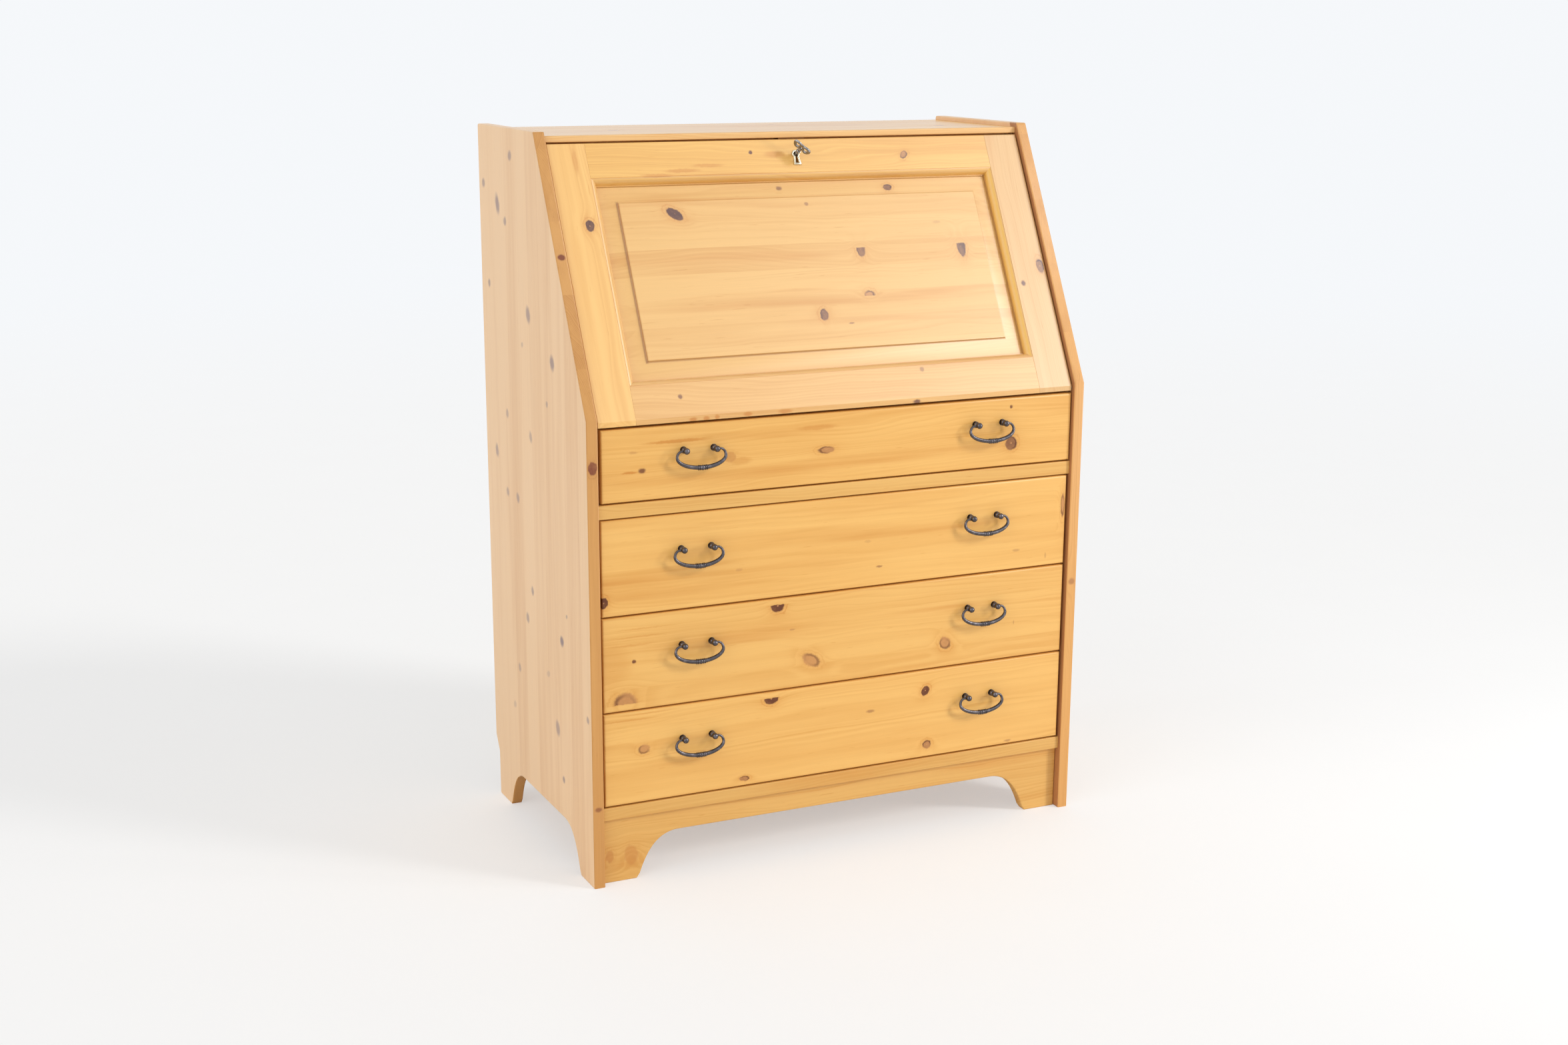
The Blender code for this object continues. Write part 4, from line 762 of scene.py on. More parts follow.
@shader_group(
    "Pine Grain",
    (
        ("Vector", VECTOR), ("Seed", VALUE), ("Stave Width", VALUE), ("Ring Width", VALUE), ("Push", VALUE),
        ("Early", COLOUR), ("Late", COLOUR), ("Stain", COLOUR), ("Contrast", VALUE), ("Stave Tone", VALUE),
    ),
    (("Colour", COLOUR), ("Height", VALUE), ("Gloss", VALUE)),
)
def grain_group(tree, given):
    """Growth rings of glued pine staves, as the distance from a pith line that differs in each stave.

    ring = sqrt((y - py)^2 + (z - pz)^2) / ring width + push; each ring darkens towards its late wood.
    """
    vector, seed, stave_width = given["Vector"], given["Seed"], given["Stave Width"]
    along, across, through = parts_of(tree, vector)

    # Staves: a number for each, the place across it, and four chances drawn by its number
    wander = calc(tree, "MULTIPLY_ADD", stretched_noise(tree, vector, (1.3, 1.0, 1.0), 1.0), 0.002, -0.001)
    count = calc(tree, "DIVIDE", calc(tree, "ADD", across, wander), stave_width)
    count = calc(tree, "ADD", count, calc(tree, "MULTIPLY", seed, 7.31))
    stave = calc(tree, "FLOOR", count)
    local = calc(tree, "SUBTRACT", calc(tree, "SUBTRACT", count, stave), 0.5)
    local = calc(tree, "MULTIPLY", local, stave_width)
    drawn = calc(tree, "ADD", stave, calc(tree, "MULTIPLY", seed, 3.7))
    lot = add_node(tree, "ShaderNodeTexWhiteNoise", {"W": drawn}, noise_dimensions="1D").outputs
    one, two, three = add_node(tree, "ShaderNodeSeparateColor", {0: lot["Color"]}).outputs
    tone = calc(tree, "SUBTRACT", lot["Value"], 0.45)
    shift = add_node(tree, "ShaderNodeCombineXYZ", {0: calc(tree, "MULTIPLY", one, 9.0), 1: 0.0, 2: stave})
    shifted = vector_calc(tree, "ADD", vector, shift.outputs[0])

    # Rings: distance from the drifting, leaning pith, with uneven years
    drift = calc(tree, "MULTIPLY_ADD", stretched_noise(tree, shifted, (3.0, 14.0, 14.0), 2.0), 0.044, -0.022)
    ripple = calc(tree, "MULTIPLY_ADD", stretched_noise(tree, shifted, (6.0, 80.0, 80.0), 3.0), 0.0020, -0.0010)
    lean = calc(tree, "MULTIPLY", along, calc(tree, "MULTIPLY_ADD", two, 0.07, -0.035))
    pith = calc(tree, "ADD", calc(tree, "MULTIPLY_ADD", one, 0.12, -0.06), lean)
    dy = calc(tree, "ADD", calc(tree, "SUBTRACT", local, pith), drift)
    dz = calc(tree, "ADD", through, calc(tree, "MULTIPLY_ADD", three, 0.07, 0.028))
    reach = calc(tree, "SQRT", calc(tree, "ADD", calc(tree, "MULTIPLY", dy, dy), calc(tree, "MULTIPLY", dz, dz)))
    reach = calc(tree, "ADD", calc(tree, "ADD", reach, ripple), given["Push"])
    year = add_node(
        tree, "ShaderNodeTexNoise", {"W": calc(tree, "MULTIPLY", reach, 140.0), "Scale": 1.0, "Detail": 1.0},
        noise_dimensions="1D",
    ).outputs["Fac"]
    ring = calc(tree, "DIVIDE", reach, given["Ring Width"])
    season = calc(tree, "FRACT", calc(tree, "ADD", ring, calc(tree, "MULTIPLY", year, 1.6)))
    late = calc(tree, "SUBTRACT", 1.0, ramp(tree, season, 0.82, 1.0))
    late = calc(tree, "MULTIPLY", ramp(tree, season, 0.05, 0.80), late)

    # Colour: late wood, streaks, the stave's own tone, clouds and flecks, then amber smears and fine fibres
    fibre = stretched_noise(tree, shifted, (11.0, 900.0, 900.0), 3.0, 0.6)
    streak = stretched_noise(tree, shifted, (2.6, 70.0, 70.0), 3.0, 0.55)
    cloud = stretched_noise(tree, shifted, (2.2, 9.0, 9.0), 2.0)
    smear = ramp(tree, stretched_noise(tree, shifted, (1.5, 26.0, 26.0), 3.0, 0.6), 0.52, 0.76)
    fleck = ramp(tree, stretched_noise(tree, shifted, (30.0, 420.0, 420.0), 1.0), 0.70, 0.80)
    late = calc(tree, "MULTIPLY", late, calc(tree, "MULTIPLY_ADD", year, 1.1, 0.1))
    late = calc(tree, "MULTIPLY", late, calc(tree, "MULTIPLY_ADD", cloud, 1.6, 0.1))
    dark = calc(tree, "MULTIPLY", late, given["Contrast"])
    dark = calc(tree, "ADD", dark, calc(tree, "MULTIPLY_ADD", streak, 0.8, -0.34))
    dark = calc(tree, "ADD", dark, calc(tree, "MULTIPLY", tone, given["Stave Tone"]))
    dark = calc(tree, "ADD", dark, calc(tree, "MULTIPLY_ADD", cloud, 0.5, -0.25))
    dark = calc(tree, "ADD", dark, calc(tree, "MULTIPLY", fleck, 0.45), clamp=True)
    colour = blend_colour(tree, dark, given["Early"], given["Late"])
    colour = blend_colour(tree, calc(tree, "MULTIPLY", smear, 0.5), colour, given["Stain"])
    light = calc(tree, "MULTIPLY_ADD", fibre, 0.09, 0.955)
    grey = add_node(tree, "ShaderNodeCombineColor", {0: light, 1: light, 2: light}).outputs[0]
    colour = blend_colour(tree, 1.0, colour, grey, "MULTIPLY")
    gloss = calc(tree, "ADD", calc(tree, "MULTIPLY", fibre, 0.5), calc(tree, "MULTIPLY", cloud, 0.5))
    return colour, fibre, gloss


def board_coordinates(tree, place):
    """Object coordinates turned so that X runs along the grain, Y across the board and Z out of it."""
    turned = Matrix(place.tolist())
    mapping = add_node(
        tree, "ShaderNodeMapping",
        {
            "Vector": add_node(tree, "ShaderNodeTexCoord").outputs["Object"],
            "Location": turned.translation,
            "Rotation": Vector(turned.to_euler()),
        },
        vector_type="TEXTURE",
    )
    return mapping.outputs[0]


def knot_layers(tree, vector, knots, heart, ring, amber, deep, lean):
    """All knots of a board as one colour, mask, halo and push. Small ones are flecks, and streaks only add halo.

    Each colour lies over those before it, masks and halos join as their maximum, and pushes add up.
    """
    waver = add_node(tree, "ShaderNodeTexNoise", {"Vector": vector, "Scale": 140.0, "Detail": 2.0}).outputs["Color"]
    waver = vector_calc(tree, "SUBTRACT", waver, (0.5, 0.5, 0.5))
    uneven = vector_calc(tree, "MULTIPLY_ADD", waver, (0.0030, 0.0030, 0.0), vector)
    leaning = add_node(tree, "ShaderNodeVectorRotate", {"Vector": uneven, "Angle": lean}, rotation_type="Z_AXIS")
    colour, mask, halo, push = opaque(ring), 0.0, 0.0, 0.0
    for along, across, half_length, half_width, darkness, *more in knots:
        place = {
            "Vector": leaning.outputs[0],
            "Centre": Matrix.Rotation(lean, 3, "Z") @ Vector((along, across, 0.0)),
            "Radii": (half_length, half_width, deep),
            "Darkness": abs(darkness),
        }
        if darkness < 0.0:
            halo = calc(tree, "MAXIMUM", halo, use_group(tree, fleck_group, place)["Mask"])
        elif lean or half_length * half_width < SMALL_KNOT:
            fleck = use_group(tree, fleck_group, place)["Mask"]
            wood = tuple(r + (h - r) * darkness for r, h in zip(ring, heart))
            colour = blend_colour(tree, fleck, colour, opaque(wood))
            mask = calc(tree, "MAXIMUM", mask, fleck)
        else:
            woods = {"Heart": opaque(heart), "Ring": opaque(ring), "Amber": opaque(amber)}
            knot = use_group(tree, knot_group, {**place, **woods, **dict(zip(("Tilt", "Bottom", "Top"), more))})
            colour = blend_colour(tree, knot["Mask"], colour, knot["Colour"])
            mask = calc(tree, "MAXIMUM", mask, knot["Mask"])
            halo = calc(tree, "MAXIMUM", halo, knot["Halo"])
            push = calc(tree, "ADD", push, knot["Push"])
    return colour, mask, halo, push


def pine(name, board, light, dark, knots=(), seed=0.0, stave=0.05, ring=0.0032, contrast=0.5, tone=0.1, rough=0.3,
         heart=None, knot_ring=None, stain=None, grooves=(), coat=0.0, strip=0.0, deep=KNOT_DEEP, lean=0.0):
    """Lacquered or bare pine whose grain runs along the first axis of the board; knots are on its face."""
    finish, tree, shader = new_finish(name)
    vector = board_coordinates(tree, board)
    amber = stain or dark
    push = 0.0
    if knots:
        knot_colour, knot_mask, halo, push = knot_layers(tree, vector, knots, heart, knot_ring, amber, deep, lean)
    grain = use_group(tree, grain_group, {
        "Vector": vector, "Seed": seed, "Stave Width": stave, "Ring Width": ring, "Push": push, "Early": opaque(light),
        "Late": opaque(dark), "Stain": opaque(amber), "Contrast": contrast, "Stave Tone": tone,
    })
    colour = grain["Colour"]
    if knots:
        colour = blend_colour(tree, halo, colour, opaque(amber))
        colour = blend_colour(tree, knot_mask, colour, knot_colour)
    # Painted shade along grooves and steps, deepest where they face away from the light
    for centre, half_size, width, strength, shade_colour in grooves:
        edge = {"Vector": vector, "Centre": centre, "Half Size": half_size, "Width": width}
        line = use_group(tree, groove_shade_group, edge)["Mask"]
        colour = blend_colour(tree, calc(tree, "MULTIPLY", line, strength), colour, opaque(shade_colour))
    # Edge stain and painted shade on the inner face beside the front edge
    if strip:
        beside = use_group(tree, strip_group, {"Vector": vector, "Hand": strip})["Mask"]
        colour = blend_colour(tree, beside, colour, opaque(STRIP_STAIN_AND_SHADE))
    roughness = calc(tree, "MULTIPLY_ADD", grain["Gloss"], 0.16, rough - 0.08)
    bump = add_node(tree, "ShaderNodeBump", {"Strength": 0.16, "Distance": 0.0003, "Height": grain["Height"]})
    connect(tree, shader, {
        "Base Color": colour, "Roughness": roughness, "Normal": bump.outputs[0], "IOR": 1.5, "Coat Weight": coat,
        "Coat Roughness": rough,
    })
    return finish


def metal(name, colour, rough, wear):
    """Cast or plated metal: clouded colour, brighter where it is rubbed, and a finely pitted surface."""
    finish, tree, shader = new_finish(name)
    vector = add_node(tree, "ShaderNodeTexCoord").outputs["Object"]
    cloud = stretched_noise(tree, vector, (160.0, 160.0, 160.0), 3.0)
    pits = stretched_noise(tree, vector, (1400.0, 1400.0, 1400.0), 2.0)
    bright = tuple(min(1.0, c * wear) for c in colour)
    base = blend_colour(tree, ramp(tree, cloud, 0.45, 0.75), opaque(colour), opaque(bright))
    roughness = calc(tree, "MULTIPLY_ADD", cloud, 0.22, rough - 0.11)
    bump = add_node(tree, "ShaderNodeBump", {"Strength": 0.12, "Distance": 0.0003, "Height": pits})
    connect(tree, shader, {
        "Base Color": base, "Roughness": roughness, "Normal": bump.outputs[0], "Metallic": 1.0,
    })
    return finish


def honey(context, name, place, knots=(), shade=1.0, paler=(1.0, 1.0, 1.0), **settings):
    """Lacquered front pine with this board's knots.

    A shade below 1 darkens the board and paler scales its red, green and blue; on the fall these paint the light,
    darker where less light falls and paler where the sheen washes the wood out.
    """
    colours = context.scene.secretary_colours
    light, dark = (
        tuple(shade * p * c for p, c in zip(paler, kind)) for kind in (colours.honey_light, colours.honey_dark)
    )
    return pine(
        name, place, light, dark, knots,
        heart=tuple(colours.fall_heart if settings.get("coat") else colours.knot_heart),
        knot_ring=tuple(colours.knot_ring), stain=tuple(colours.honey_stain), **settings,
    )


def side_grain(x):
    """Frame of a side board's grain, which runs upwards."""
    return axes(RISING, -ALONG_DEPTH, ACROSS, (x, FRONT, 0.0))


def foot_curve(steps):
    """Toe, then the cubic curve B(t) from the toe up to the level of the arch."""
    handles = np.array([
        (TOE_WIDTH, TOE_HEIGHT), (0.017, 0.57 * ARCH_RISE), (0.034, ARCH_RISE), (FOOT_REACH, ARCH_RISE),
    ])
    t = np.linspace(0.0, 1.0, steps + 1)
    weights = np.stack([(1 - t) ** 3, 3 * t * (1 - t) ** 2, 3 * t**2 * (1 - t), t**3], 1)
    return np.concatenate([[(0.0, 0.0)], weights @ handles])


class SECRETARY_OT_sides(bpy.types.Operator):
    """Side boards with cut feet, slanted front and eased edges."""

    bl_idname = "secretary.sides"
    bl_label = "Side Boards"

    def outline(self, sizes):
        """Side board in depth and height, from the bend down the front, along the feet and up the back."""
        back = DEPTH - NOTCH_DEPTH
        board = rounded(
            [(0.0, BEND_Z), (0.0, 0.0), (back, 0.0), (back, NOTCH_HEIGHT), (DEPTH, NOTCH_HEIGHT + NOTCH_EASE),
             (DEPTH, HEIGHT), (DEPTH - TOP_DEPTH, HEIGHT)],
            (0.0, 0.0, 0.0, *NOTCH_RADII, CROWN_RADIUS, CROWN_RADIUS),
        )
        foot = foot_curve(sizes.curve_steps)
        front_foot = foot + (SIDE_FOOT, 0.0)
        back_foot = foot * (-1.0, 1.0) + (back - SIDE_FOOT, 0.0)
        return np.concatenate([board[:2], front_foot, back_foot[::-1], board[2:]])

    def execute(self, context):
        sizes, colours = context.scene.secretary_sizes, context.scene.secretary_colours
        outline = self.outline(sizes)
        # The last number lightens a side's edge finish; the right side's 1.1 is painted light.
        boards = (("left_side", LEFT_LOW, LEFT_HIGH, 0.37, 1.0), ("right_side", RIGHT_LOW, RIGHT_HIGH, 1.61, 1.1))
        for name, low, high, seed, shade in boards:
            knots, edge_knots = (
                [(z, -y, half_height, spread * half_depth, d) for y, z, half_depth, half_height, d in KNOTS[kind]]
                for kind, spread in ((name, KNOT_SPREAD), (name.replace("side", "edge"), 1.0))
            )
            grain = side_grain((low.x + high.x) / 2)
            finish = pine(
                f"{name}_pine", grain, tuple(colours.side_light), tuple(colours.side_dark), knots, seed=seed,
                stave=0.052, ring=0.0046, contrast=0.30, tone=0.50, rough=0.36, lean=KNOT_LEAN, heart=SIDE_HEART,
                knot_ring=SIDE_RING, strip=math.copysign(1.0, -low.x),
            )
            light, dark = (tuple(shade * c for c in kind) for kind in (colours.edge_light, colours.edge_dark))
            edge = pine(
                f"{name}_edge_pine", grain, light, dark, edge_knots, seed=seed, stave=0.052, ring=0.0021,
                contrast=0.42, tone=0.3, rough=0.36, deep=EDGE_KNOT_DEEP, heart=EDGE_HEART,
                knot_ring=tuple(colours.knot_ring),
            )
            shell = board_shell(outline, low.x, high.x, sizes.board_ease, PROFILE_FRAME)
            piece(f"{name}_board", [shell], finish, "carcass", (name,), edge=edge)
        return {"FINISHED"}


class SECRETARY_OT_carcass(bpy.types.Operator):
    """Top board, shelf and bottom edges, and the arched plinth."""

    bl_idname = "secretary.carcass"
    bl_label = "Carcass Fronts"

    def execute(self, context):
        sizes = context.scene.secretary_sizes
        ease = sizes.board_ease
        for name, seed, shade in (("fixed_shelf", 2.3, 0.91), ("bottom_board", 3.1, 0.86)):
            low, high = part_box(name)
            front, back = low.y - FRONT, high.y - FRONT
            section = rounded(
                [(front, low.z), (back, low.z), (back, high.z), (front, high.z)], (ease, 0.0, 0.0, ease)
            )
            finish = honey(
                context, f"{name}_pine", FRONT_FRAME, seed=seed, stave=ONE_STAVE, ring=0.0050, contrast=0.4,
                rough=0.34, shade=shade,
            )
            shell = board_shell(section, low.x, high.x, END_EASE, PROFILE_FRAME, 1)
            piece(f"{name}_piece", [shell], finish, "carcass", (name,))
        self.top_board(context, sizes)
        self.plinth(context, sizes)
        return {"FINISHED"}

    def top_board(self, context, sizes):
        """Top board with its lip over the fall, the slanted edge behind it and the mortise for the bolt."""
        low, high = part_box("top_board")
        ease, front, lip_z = sizes.board_ease, low.y - FRONT, high.z - LIP_THICKNESS

        def behind_fall(z):
            return FACE - FRONT + (z - FALL_Z) * SIN / COS + (sizes.fall_thickness + STOP_GAP) / COS

        section = rounded(
            [(front, high.z), (front, lip_z), (behind_fall(lip_z), lip_z), (behind_fall(low.z), low.z),
             (DEPTH, low.z), (DEPTH, high.z)],
            (ease * 1.5, ease, 0.0, 0.0, 0.0, 0.0),
        )
        place = axes(ACROSS, ALONG_DEPTH, RISING, (0.0, FRONT, high.z))
        finish = honey(
            context, "top_board_pine", place, KNOTS["top_board"], seed=4.7, stave=0.07, contrast=0.4, rough=0.22
        )
        edge = honey(
            context, "top_edge_pine", FRONT_FRAME, seed=4.7, stave=ONE_STAVE, ring=0.0040, contrast=0.4, rough=0.34,
            paler=(1.0, 1.07, 1.55),
        )
        shell = board_shell(section, low.x, high.x, END_EASE, PROFILE_FRAME, 1)
        board = piece("top_board_piece", [shell], finish, "carcass", ("top_board",), edge=edge)
        end = KEY_S + sizes.key_drop + BOLT_REACH
        mortise = np.array([
            (-BOLT_HALF_W, KEY_S), (BOLT_HALF_W, KEY_S), (BOLT_HALF_W, end), (-BOLT_HALF_W, end),
        ])
        cut(board, board_shell(mortise, *BOLT_LEVELS, CUT_EASE, FALL_FRAME, 1))

    def plinth(self, context, sizes):
        """Plinth with a foot at each end and a level arch between them."""
        low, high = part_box("plinth")
        right = foot_curve(sizes.curve_steps) * (-1.0, 1.0) + (high.x - PLINTH_FOOT, 0.0)
        outline = np.concatenate([
            [(low.x, 0.0)], right * (-1.0, 1.0), right[::-1], [(high.x, 0.0), (high.x, high.z), (low.x, high.z)],
        ])
        finish = honey(
            context, "plinth_pine", FRONT_FRAME, KNOTS["plinth"], seed=5.2, stave=ONE_STAVE, ring=0.0055,
            contrast=0.45, rough=0.36, shade=0.88,
        )
        shell = board_shell(outline, FACE - high.y, FACE - low.y, sizes.board_ease, FRONT_FRAME)
        piece("plinth_piece", [shell], finish, "carcass", ("plinth",))


class SECRETARY_OT_fall(bpy.types.Operator):
    """Fall: stiles, rails, mitred moulding, and the raised and fielded panel."""

    bl_idname = "secretary.fall"
    bl_label = "Fall"

    def heel(self, sizes, top):
        """Section of the fall in slope and out: face, upright band below, level underside and inner face."""
        def at(y, z):
            return ((y - FACE) * SIN + (z - FALL_Z) * COS, -(y - FACE) * COS + (z - FALL_Z) * SIN)

        under_y = FACE + (BAND_Z - FALL_Z) * SIN / COS + sizes.fall_thickness / COS
        return [at(under_y, BAND_Z), (top, -sizes.fall_thickness), (top, 0.0), at(FACE, FALL_Z), at(FACE, BAND_Z)]

    def moulding(self, sizes, side):
        """Moulding along one edge of the opening, with ends cut on the mitre.

        Its profile is a small step, a quarter ellipse (w sin a, -d (1 - cos a)), a narrow fillet, then the back.
        """
        width, depth = sizes.moulding_width, sizes.moulding_depth
        root, start, quirk, fillet, rest = 0.0012, 0.0007, 0.0003, 0.0016, 0.0022
        roll, fallen = width - fillet - start, depth - quirk - rest
        a = np.linspace(0.0, np.pi / 2, 9)
        curve = np.stack([start + roll * np.sin(a), -quirk - fallen * (1.0 - np.cos(a))], 1)
        front = np.concatenate([
            [(-root, -depth), (-root, -quirk), (-quirk, -quirk), (0.0, -2.0 * quirk), (start, -2.0 * quirk)],
            curve, [(width, -depth + rest), (width, -depth)],
        ])
        back, behind = -sizes.fall_thickness, -REBATE - quirk
        lip = np.array([(-root, back), (-root, behind), (width, behind), (width, back)])
        half_x = FALL_HALF_W - sizes.stile_width
        low, high = sizes.foot_rail_width, KEY_S + sizes.key_drop - sizes.rail_width
        shells = []
        for profile in (front, lip):
            t, h = profile[:, 0], profile[:, 1]
            mitre = np.maximum(t, 0.0)
            if side in ("left", "right"):
                x = (t - half_x) if side == "left" else (half_x - t)
                ends = [np.stack([x, low + mitre, h], 1), np.stack([x, high - mitre, h], 1)]
            else:
                s = low + t if side == "bottom" else high - t
                ends = [np.stack([mitre - half_x, s, h], 1), np.stack([half_x - mitre, s, h], 1)]
            shells.append(grid_shell(placed(np.stack(ends), FALL_FRAME), False, True))
        return shells

    def grooves(self, sizes, top, side):
        """Lines of painted shade across the moulding of one side of the fall, in the board's own axes; the top and
        right runs, which face away from the light, get the most.
        """
        upright = side in ("left", "right")
        middle = 0.5 * (sizes.foot_rail_width + top - sizes.rail_width)
        half_x = FALL_HALF_W - sizes.stile_width
        half_s = middle - sizes.foot_rail_width
        made = []
        for share, width, strength, stain in MOULDING_SHADES[side]:
            inset = share * sizes.moulding_width
            size = (half_s - inset, half_x - inset, 0.0) if upright else (half_x - inset, half_s - inset, 0.0)
            made.append(((middle, 0.0, 0.0) if upright else (0.0, middle, 0.0), size, width, strength, stain))
        return made

    def execute(self, context):
        sizes = context.scene.secretary_sizes
        top = KEY_S + sizes.key_drop
        opening = top - sizes.rail_width
        half_x = FALL_HALF_W - sizes.stile_width
        stile = rounded(self.heel(sizes, top), (0.0010, 0.0010, 0.0014, 0.0012, 0.0010))
        bottom_rail = rounded(self.heel(sizes, sizes.foot_rail_width), (0.0010, 0.0, 0.0, 0.0012, 0.0010))
        top_rail = rounded(
            [(opening, -sizes.fall_thickness), (top, -sizes.fall_thickness), (top, 0.0), (opening, 0.0)],
            (0.0, 0.0010, 0.0014, 0.0),
        )
        inner, between = half_x + HAIRLINE, half_x - HAIRLINE
        stiles = {"place": STILE_GRAIN, "ring": 0.0038, "contrast": 0.40}
        rails = {"place": FALL_FRAME, "ring": 0.0060, "contrast": 0.45}
        # shade and paler paint light on the fall's boards: darker where less light falls, and paler blue where the
        # sheen washes them out
        for side, name, kind, section, low, high, ease, seed, shade, paler in (
            ("left", "left_stile", stiles, stile, -FALL_HALF_W, -inner, STILE_EASE, 6.1, 1.05, (1.0, 1.03, 1.08)),
            ("right", "right_stile", stiles, stile, inner, FALL_HALF_W, STILE_EASE, 7.4, 0.86, (1.0, 1.06, 1.45)),
            ("bottom", "bottom_rail", rails, bottom_rail, -between, between, END_EASE, 8.3, 0.93, (1.0, 1.0, 1.14)),
            ("top", "top_rail", rails, top_rail, -between, between, END_EASE, 9.6, 1.0, (1.0, 1.0, 0.86)),
        ):
            name = f"fall_{name}"
            knots = KNOTS[name]
            if kind is stiles:
                knots = [(s, -x, b, a, d) for x, s, a, b, d in knots]
            finish = honey(
                context, f"{name}_pine", knots=knots, seed=seed, stave=ONE_STAVE, rough=0.37, coat=1.0, shade=shade,
                paler=paler, grooves=self.grooves(sizes, top, side), **kind,
            )
            shells = [board_shell(section, low, high, ease, FALL_PROFILE), *self.moulding(sizes, side)]
            board = piece(f"{name}_piece", shells, finish, "fall", (name,))
            if side == "top":
                self.lock_recess(board, top)
        self.panel(context, sizes, half_x, top)
        return {"FINISHED"}

    def lock_recess(self, rail, top):
        """Pocket for the lock case from behind, and the keyhole through to it from the front."""
        low, high = top - LOCK_DROP, top + 0.001
        pocket = np.array([(-LOCK_HALF_W, low), (LOCK_HALF_W, low), (LOCK_HALF_W, high), (-LOCK_HALF_W, high)])
        cut(rail, board_shell(pocket, -0.03, -LOCK_LEVEL, CUT_EASE, FALL_FRAME, 1))
        cut(rail, board_shell(keyhole(*KEYHOLE), -KEYHOLE_DEPTH, PAST, CUT_EASE, FALL_FRAME, 1))

    def panel_grooves(self, sizes, half_x, low, high):
        """Lines of painted shade round the field and at the moulding, stronger at the field's left and lower edges,
        which face away from the light.
        """
        middle, half_s, inset = 0.5 * (low + high), 0.5 * (high - low), sizes.field_margin - 0.0008
        inside = (half_x - sizes.moulding_width, half_s - sizes.moulding_width, 0.0)
        return (
            ((0.0, middle, 0.0), (half_x - inset, half_s - inset, 0.0), 0.0015, 0.14, GROOVE_SHADE),
            ((0.0, middle, 0.0), inside, 0.0014, 0.08, GROOVE_SHADE),
            ((inset - half_x, middle, 0.0), (0.0, half_s - inset, 0.0), 0.0034, 0.55, GROOVE_SHADE),
            ((0.0, low + inset, 0.0), (half_x - inset, 0.0, 0.0), 0.0024, 0.45, GROOVE_SHADE),
        )

    def panel(self, context, sizes, half_x, top):
        """Panel as rectangles (inset, level) one inside the other: tongue, margin, coved step and field."""
        low, high = sizes.foot_rail_width, top - sizes.rail_width
        clear, cove_in, cove_up, round_over = 0.0004, 0.0024, 0.0020, 0.0008
        edge, tongue = sizes.moulding_width + clear, sizes.moulding_width - 0.0075
        margin, step, field = sizes.field_margin, sizes.field_step, sizes.field_depth
        a = np.linspace(0.0, np.pi / 2, 5)
        cove = np.stack([margin - cove_in + cove_in * np.sin(a), -(field + step) + cove_up * (1 - np.cos(a))], 1)
        brow = np.stack([margin + round_over * (1 - np.cos(a)), -field - round_over * (1 - np.sin(a))], 1)
        foot = np.array([edge - 0.0008, -sizes.moulding_depth - clear])
        levels = np.concatenate([
            [(edge, -sizes.fall_thickness), (edge, -REBATE), (tongue, -REBATE), (tongue, foot[1]), foot],
            [0.97 * cove[0] + 0.03 * foot], cove, brow, [(brow[-1, 0] + 0.0006, -field)],
        ])
        inset, level = levels[:, 0], levels[:, 1]
        x, s0, s1 = half_x - inset, low + inset, high - inset
        corners = np.stack([
            np.stack([-x, s0, level], 1), np.stack([x, s0, level], 1),
            np.stack([x, s1, level], 1), np.stack([-x, s1, level], 1),
        ], 1)
        # shade and paler paint shade and sheen on the panel
        finish = honey(
            context, "fall_panel_pine", FALL_FRAME, KNOTS["fall_panel"], seed=0.9, stave=0.041, ring=0.0058,
            contrast=0.28, tone=0.26, rough=0.37, coat=1.0, shade=0.94, paler=(1.0, 1.03, 1.16),
            grooves=self.panel_grooves(sizes, half_x, low, high),
        )
        shell = grid_shell(placed(corners, FALL_FRAME), False, True)
        piece("fall_panel_piece", [shell], finish, "fall", ("fall_panel",), 25.0)


def keyhole(head, waist, foot, drop):
    """Counterclockwise keyhole about the key: round head, waist below it and a flared foot."""
    turn = math.acos(min(1.0, 0.5 * waist / head))
    top = arc((0.0, KEY_S), head, -turn, math.pi + turn, 28)
    base = KEY_S - drop
    return np.concatenate([top, [(-0.5 * foot, base), (0.5 * foot, base)]])


